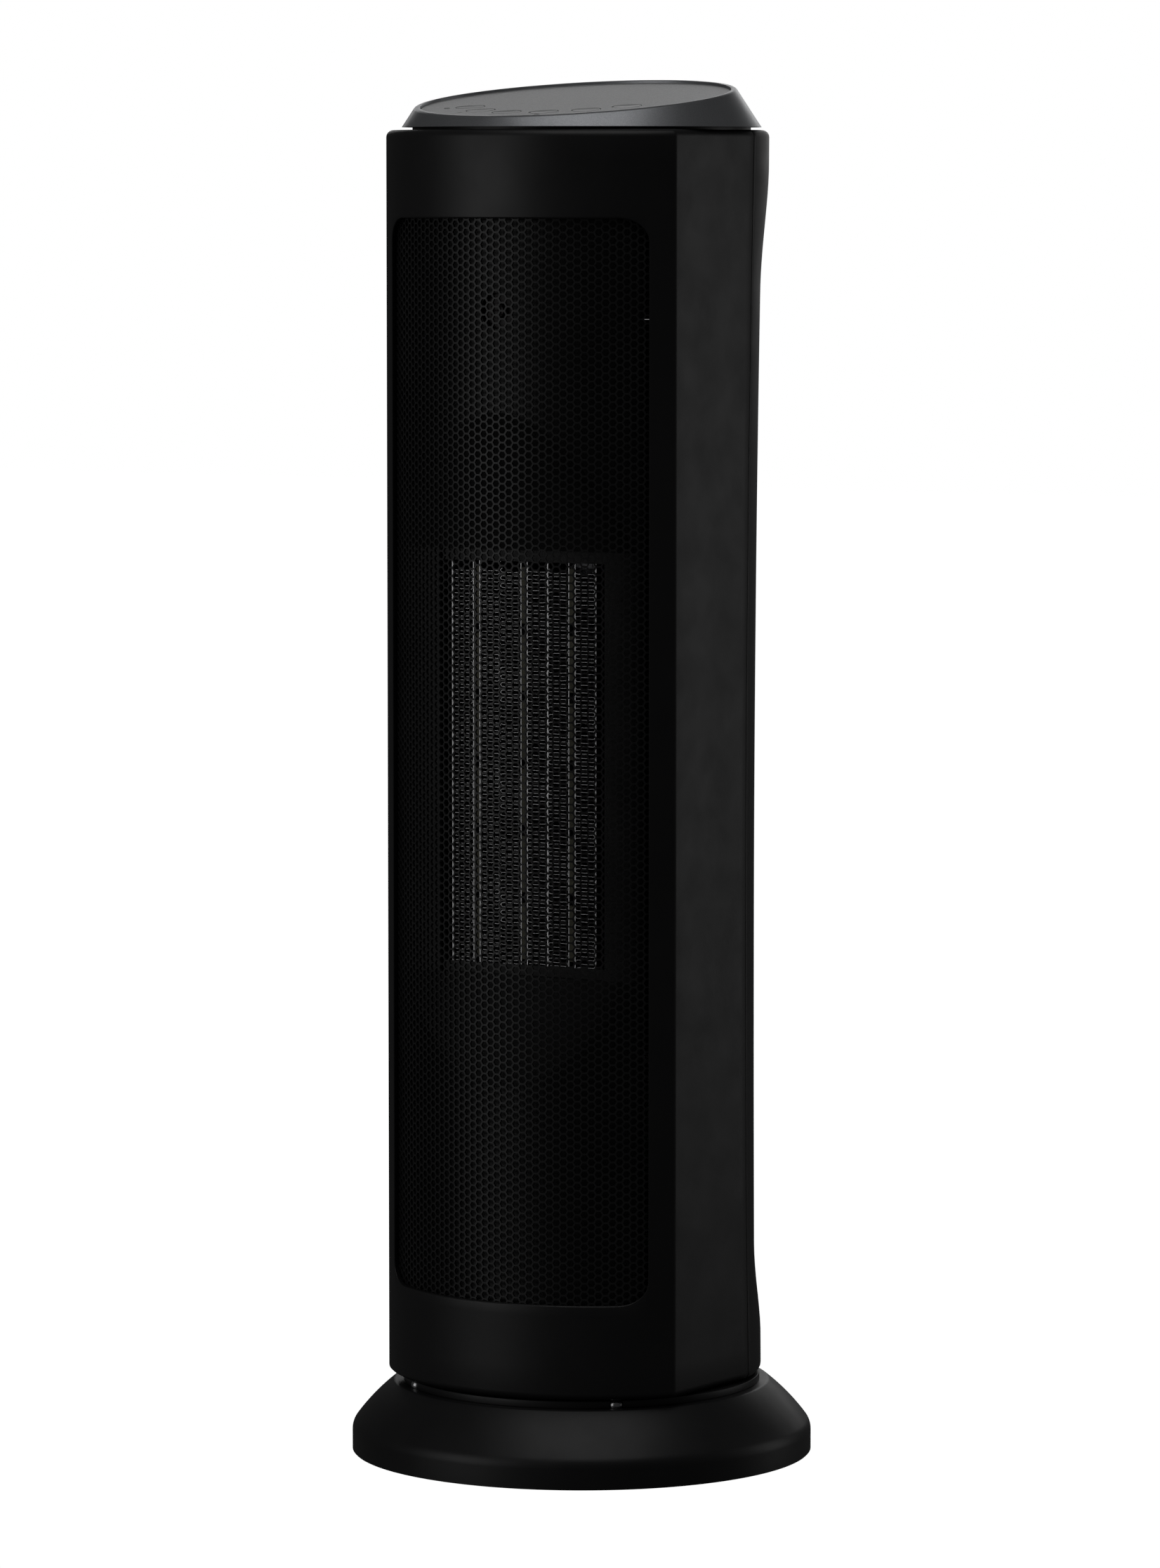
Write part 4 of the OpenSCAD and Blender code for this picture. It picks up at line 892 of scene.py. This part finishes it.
class HEATER_OT_mesh(bpy.types.Operator):
    """Builds the curved hexagon mesh from one repeated cell"""

    bl_idname = "heater.mesh"
    bl_label = "Hexagon mesh"

    def execute(self, context):
        sizes = context.scene.heater_mesh
        half = sizes.hex_pitch / 2
        outer = 2 * half / math.sqrt(3)
        hole = 2 * (half - sizes.web / 2) / math.sqrt(3)
        step = 1.5 * outer
        # the corners of four neighbouring holes, then the webs between them
        clear()
        rings = []
        for centre in ((0, 0), (0, 2 * half), (step, half), (-step, half)):
            bpy.ops.mesh.primitive_circle_add(
                vertices=6, radius=hole, location=(centre[0], 0, centre[1]),
                rotation=(math.pi / 2, math.pi / 6, 0))
            ring = bpy.context.object
            bpy.ops.object.transform_apply(location=True, rotation=True, scale=True)
            rings.append(ring)
        cell = join("hexagon_mesh", rings)

        def corner(cx, cz, angle):
            a = math.radians(angle)
            return Vector((cx + hole * math.cos(a), 0, cz + hole * math.sin(a)))

        webs = [
            [corner(0, 0, 60), corner(0, 0, 120), corner(0, 2 * half, -120), corner(0, 2 * half, -60)],
            [corner(0, 0, 60), corner(0, 0, 0), corner(step, half, 240), corner(step, half, 180)],
            [corner(0, 0, 120), corner(0, 0, 180), corner(-step, half, 300), corner(-step, half, 0)],
            [corner(0, 0, 60), corner(0, 2 * half, -60), corner(step, half, 180)],
            [corner(0, 0, 120), corner(0, 2 * half, -120), corner(-step, half, 0)],
        ]
        edit(cell)
        for web in webs:
            choose(cell, "VERT", lambda v: any((v.co - p).length < 1e-5 for p in web))
            bpy.ops.mesh.edge_face_add()
        choose(cell, "EDGE", lambda e: not e.link_faces)
        bpy.ops.mesh.delete(type="EDGE")
        choose(cell, "VERT", lambda v: not v.link_faces)
        bpy.ops.mesh.delete(type="VERT")
        bpy.ops.object.mode_set(mode="OBJECT")

        radius = MESH_R
        low, high = OPENING_Z
        reach = math.asin(MESH_HALF / radius) * radius
        pairs = math.ceil(reach / step)
        rows = math.ceil((high - low + 0.003) / (2 * half))
        modify(cell, "ARRAY", count=rows, constant_offset_displace=(0, 0, 2 * half), **WELD)
        modify(cell, "ARRAY", count=2, constant_offset_displace=(step, 0, half), **WELD)
        modify(cell, "ARRAY", count=pairs, constant_offset_displace=(2 * step, 0, 0), **WELD)
        first = -(2 * pairs - 1) * step / 2
        base = (low + high) / 2 - rows * half + half / 2
        for vertex in cell.data.vertices:
            turn = (vertex.co.x + first) / radius
            vertex.co = (radius * math.sin(turn), FACE_CY - radius * math.cos(turn),
                         vertex.co.z + base)
        edit(cell)
        bpy.ops.mesh.select_all(action="SELECT")
        bpy.ops.mesh.remove_doubles(threshold=2e-5)
        bpy.ops.object.mode_set(mode="OBJECT")
        if cell.data.polygons[0].normal.y > 0:
            edit(cell)
            bpy.ops.mesh.select_all(action="SELECT")
            bpy.ops.mesh.flip_normals()
            bpy.ops.object.mode_set(mode="OBJECT")
        modify(cell, "SOLIDIFY", thickness=sizes.sheet, offset=-1)
        settle(smooth(cell, 25), "front_grille")
        return {"FINISHED"}


class HEATER_OT_core(bpy.types.Operator):
    """Builds the corrugated fins of the heating core"""

    bl_idname = "heater.core"
    bl_label = "Heating core fins"

    def execute(self, context):
        sizes = context.scene.heater_mesh
        low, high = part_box("ptc_fins")
        depth0, depth1 = low[1], high[1]
        pitch = sizes.fin_pitch
        offset = STONE_T / 2 + ELECTRODE_T + FIN_W / 2
        turn_r = pitch / 2
        inner = FIN_W / 2 - 0.0001 - turn_r
        # one fold: across, a half turn, back across, a half turn
        path = []
        for k in range(7):
            path.append((-inner + 2 * inner * k / 6, FIN_SWAY * math.sin(math.pi * k / 6)))
        for k in range(1, 6):
            a = -math.pi / 2 + math.pi * k / 6
            path.append((inner + turn_r * math.cos(a), turn_r + turn_r * math.sin(a)))
        for k in range(7):
            path.append((inner - 2 * inner * k / 6, pitch - FIN_SWAY * math.sin(math.pi * k / 6)))
        for k in range(1, 7):
            a = -math.pi / 2 - math.pi * k / 6
            path.append((-inner + turn_r * math.cos(a), pitch + turn_r + turn_r * math.sin(a)))
        count = int((high[2] - low[2]) / (2 * pitch))
        columns = []
        for number, centre in enumerate(u * UNIT_W + s * offset for u in (-1, 0, 1) for s in (-1, 1)):
            wander = FIN_WANDER * math.sin(2.4 * number)
            strip = draped("fin_column", len(path), 2, lambda i, j: (
                centre + path[i][0], (depth0, depth1)[j], low[2] + wander + 0.0004 + path[i][1]))
            modify(strip, "ARRAY", count=count, constant_offset_displace=(0, 0, 2 * pitch), **WELD)
            columns.append(strip)
        fins = join("core_fins", columns)
        modify(fins, "SOLIDIFY", thickness=sizes.fin_sheet, offset=0)
        settle(smooth(fins, 40), "ptc_fins")
        return {"FINISHED"}


class HEATER_OT_cap(bpy.types.Operator):
    """Builds the sloping cap and its speckled panel"""

    bl_idname = "heater.cap"
    bl_label = "Cap and panel"

    def execute(self, context):
        height = 0.0307

        def cone(name, inset):
            return drum(name, CAP_R - inset, CAP_Z, CAP_Z + height, sides=256,
                        top=CAP_R - inset - CAP_LEAN * height)

        def cut_above(obj, level):
            edit(obj)
            bpy.ops.mesh.select_all(action="SELECT")
            point = ON_CAP @ Vector((0, 0, level))
            normal = ON_CAP.to_3x3() @ Vector((0, 0, 1))
            bpy.ops.mesh.bisect(plane_co=point, plane_no=normal, use_fill=True, clear_outer=True)
            bpy.ops.object.mode_set(mode="OBJECT")
            return obj

        cap = cut_above(cone("cap_shell", 0.0), 0.0)
        round_edges(cap, 0.0009, 3, 40, lambda p: p.z > CAP_Z + 0.001)
        recess = drum("recess_cutter", RECESS_R, DECK_TOP, 0.02, sides=192)
        carve(cap, place(recess, ON_CAP))
        hollow = cone("hollow_cutter", 0.0028)
        place(hollow, Matrix.Translation((0, 0, -0.00002)))
        cut_above(hollow, DECK_LOW)
        carve(cap, hollow)
        for i in range(6):
            x, y = button_xy(i)
            hole = drum("button_cutter", 0.0075, -0.01, 0.01, (x, y), 48)
            carve(cap, place(hole, ON_CAP))
        round_edges(cap, 0.0003, 2, 50, lambda p: p.z > CAP_Z + 0.0012)
        settle(smooth(cap, 30), "top_cap")

        lip = spun("cap_lip_ring", [(LIP_R_IN, LIP_LOW), (LIP_R_OUT, LIP_LOW), (LIP_R_OUT, LIP_HIGH),
                                    (LIP_R_IN, LIP_HIGH), (LIP_R_IN, LIP_LOW)])
        take(smooth(lip, 30))
        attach(lip, "tower")
        lip.data.materials.clear()
        lip.data.materials.append(finish_for("shell_black"))

        panel = drum("panel_plate", PANEL_R, DECK_TOP, PANEL_TOP, sides=192)
        for i in range(6):
            x, y = button_xy(i)
            carve(panel, drum("button_cutter", 0.00625, -0.01, 0.01, (x, y), 64))
        round_edges(panel, 0.00025, 2, 50)
        marks = [self.mark(i) for i in range(6)]
        settle(smooth(place(panel, ON_CAP), 12), "control_panel")
        marks = join("panel_marks", [place(mark, ON_CAP) for mark in marks])
        take(marks)
        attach(marks, "tower")
        marks.data.materials.clear()
        marks.data.materials.append(mark_white())
        return {"FINISHED"}

    def mark(self, i):
        """A plain raised mark ahead of button i: a dot, a square, a ring or a triangle."""
        turn = (i - 2.5) * BUTTON_STEP
        spot = (MARK_R * math.sin(turn), -MARK_R * math.cos(turn), PANEL_TOP + 0.00004)
        clear()
        if i in (4, 5):
            bpy.ops.mesh.primitive_circle_add(
                vertices=3, radius=0.0013, fill_type="NGON", location=spot,
                rotation=(0, 0, math.pi * (i == 4)))
        elif i in (0, 3):
            bpy.ops.mesh.primitive_torus_add(
                major_radius=0.0011, minor_radius=0.00018, major_segments=24,
                minor_segments=6, location=spot)
        else:
            bpy.ops.mesh.primitive_circle_add(vertices=4 if i == 1 else 16, radius=0.0011,
                                              fill_type="NGON", location=spot)
        obj = named("mark")
        bpy.ops.object.transform_apply(location=True, rotation=True, scale=True)
        if i not in (0, 3):
            modify(obj, "SOLIDIFY", thickness=0.00008, offset=-1)
        return obj


def button_xy(i):
    """Centre of button i in the cap's frame."""
    turn = (i - 2.5) * BUTTON_STEP
    return BUTTON_R * math.sin(turn), -BUTTON_R * math.cos(turn)


class HEATER_OT_buttons(bpy.types.Operator):
    """Builds the six push buttons, one for each body"""

    bl_idname = "heater.buttons"
    bl_label = "Push buttons"

    def execute(self, context):
        top, rim, dish = PANEL_TOP, KEY_R, 0.00025
        under, shelf, foot = DECK_TOP - 0.0001, DECK_TOP - 0.0011, -0.009
        profile = [(0.0, top - dish), (0.0022, top - dish * 0.9), (0.0040, top - dish * 0.55),
                   (0.0050, top - dish * 0.15), (0.0054, top), (0.0057, top - 0.00005),
                   (0.00592, top - 0.0003), (rim, top - 0.0006), (rim, under), (0.0068, under),
                   (0.0068, shelf), (0.0025, shelf), (0.0025, foot), (0.0, foot)]
        model = spun("button_model", profile, 64)
        for i, node in enumerate(BUTTONS):
            copy = model.copy()
            copy.data = model.data.copy()
            copy.name = node.replace("button", "key")
            copy.data.name = copy.name
            bpy.context.scene.collection.objects.link(copy)
            x, y = button_xy(i)
            place(copy, ON_CAP @ Matrix.Translation((x, y, 0)))
            settle(smooth(copy, 40), node)
        bpy.data.objects.remove(model, do_unlink=True)
        return {"FINISHED"}


class HEATER_OT_finishes(bpy.types.Operator):
    """Gives every CAD node that stays its own finish"""

    bl_idname = "heater.finishes"
    bl_label = "Finishes of the inner parts"

    def execute(self, context):
        for node, obj in frame["nodes"].items():
            obj.data.materials.clear()
            obj.data.materials.append(finish_for(SLOT_OF[node]))
        return {"FINISHED"}


class HEATER_OT_stage(bpy.types.Operator):
    """Builds the floor, the lights, the world and the camera"""

    bl_idname = "heater.stage"
    bl_label = "Stage"

    def execute(self, context):
        sizes = context.scene.heater_stage
        clear()
        bpy.ops.mesh.primitive_plane_add(size=16, location=(0, 0, 0))
        floor = named("floor")
        f = Finish("pale_floor", Roughness=0.9, IOR=1.3)
        pale = tuple(sizes.floor_color)
        dim, dimmer = (tuple(c * share for c in pale) for share in (0.1, 0.09))
        f.feed("Base Color", f.blend(f.noise(3.0), dim, dimmer))
        glow = f.node("ShaderNodeEmission", {}, {"Color": pale, "Strength": 1.12})
        seen = f.node("ShaderNodeLightPath").part("Is Camera Ray")
        look = f.node("ShaderNodeMixShader", {}, {0: seen, 1: f.shader.outputs[0], 2: glow})
        f.tree.links.new(look.socket, f.tree.nodes["Material Output"].inputs["Surface"])
        floor.data.materials.append(f.material)
        floor.visible_diffuse = floor.visible_glossy = floor.visible_shadow = False

        self.world()
        self.lights()

        camera = bpy.data.cameras.new("camera")
        camera.lens = sizes.lens
        camera.sensor_width = camera.sensor_height = 36
        camera.sensor_fit = "VERTICAL"
        camera.clip_end = 30
        camera.dof.use_dof = False
        eye = bpy.data.objects.new("camera", camera)
        bpy.context.scene.collection.objects.link(eye)
        d, a = sizes.distance, sizes.azimuth
        eye.location = (d * math.sin(a), -d * math.cos(a), EYE_Z)
        eye.rotation_euler = (Vector(EYE_AIM) - eye.location).to_track_quat("-Z", "Y").to_euler()
        context.scene.camera = eye
        context.scene.view_settings.view_transform = "Standard"
        context.scene.view_settings.look = "None"
        return {"FINISHED"}

    def world(self):
        """White to the camera, dim grey to everything else."""
        world = bpy.data.worlds.new("soft_room")
        bpy.context.scene.world = world
        world.use_nodes = True
        tree = world.node_tree
        back = tree.nodes["Background"]
        path = tree.nodes.new("ShaderNodeLightPath")
        mix = tree.nodes.new("ShaderNodeMix")
        mix.data_type = "RGBA"
        tree.links.new(path.outputs["Is Camera Ray"], mix.inputs["Factor"])
        mix.inputs[6].default_value = (0.03, 0.03, 0.03, 1)
        mix.inputs[7].default_value = (1.0, 1.0, 1.0, 1)
        tree.links.new(mix.outputs[2], back.inputs["Color"])

    def lights(self):
        """Five soft lights, each as name, turn, reach, height, size and power."""
        plan = [
            ("key_left", -31, 2.2, 0.55, (1.5, 1.5), 4.4),
            ("side_right", 138, 2.6, 0.45, (0.9, 1.5), 2.3),
            ("rear_right", 190, 3.2, 0.95, (2.0, 1.0), 3.5),
            ("backdrop", 209, 3.2, 1.3, (2.0, 0.8), 4.6),
            ("top_soft", 29, 0.9, 2.9, (2.5, 2.5), 13.0),
        ]
        for name, turn, reach, height, size, power in plan:
            lamp = bpy.data.lights.new(name, "AREA")
            lamp.shape = "RECTANGLE"
            lamp.size, lamp.size_y = size
            lamp.energy = power
            obj = bpy.data.objects.new(name, lamp)
            bpy.context.scene.collection.objects.link(obj)
            obj.visible_camera = False
            turn = math.radians(turn)
            spot = (reach * math.sin(turn), -reach * math.cos(turn), height)
            obj.location = spot
            obj.rotation_euler = (Vector(LIGHT_AIM) - Vector(spot)).to_track_quat("-Z", "Y").to_euler()


# ------------------------------------------------------------------- panel


class HEATER_PT_panel(bpy.types.Panel):
    """Sizes and build steps of the heater"""

    bl_label = "Tower heater"
    bl_idname = "HEATER_PT_panel"
    bl_space_type = "VIEW_3D"
    bl_region_type = "UI"
    bl_category = "Tower heater"

    def draw(self, context):
        scene = context.scene
        for group in (scene.heater_shell, scene.heater_mesh, scene.heater_stage):
            box = self.layout.box()
            for key in group.__annotations__:
                box.prop(group, key)
        for step in STEPS:
            self.layout.operator(step.bl_idname)


GROUPS = (HeaterShellSettings, HeaterMeshSettings, HeaterStageSettings)
STEPS = (
    HEATER_OT_finishes, HEATER_OT_base, HEATER_OT_front_shell, HEATER_OT_rear_shell, HEATER_OT_mesh,
    HEATER_OT_core, HEATER_OT_cap, HEATER_OT_buttons, HEATER_OT_stage,
)


def register():
    for cls in GROUPS + STEPS + (HEATER_PT_panel,):
        bpy.utils.register_class(cls)
    bpy.types.Scene.heater_shell = bpy.props.PointerProperty(type=HeaterShellSettings)
    bpy.types.Scene.heater_mesh = bpy.props.PointerProperty(type=HeaterMeshSettings)
    bpy.types.Scene.heater_stage = bpy.props.PointerProperty(type=HeaterStageSettings)


def unregister():
    del bpy.types.Scene.heater_stage
    del bpy.types.Scene.heater_mesh
    del bpy.types.Scene.heater_shell
    for cls in reversed(GROUPS + STEPS + (HEATER_PT_panel,)):
        bpy.utils.unregister_class(cls)


def main():
    register()
    for step in STEPS:
        group, name = step.bl_idname.split(".")
        getattr(getattr(bpy.ops, group), name)()
    clear()


if __name__ == "__main__":
    main()
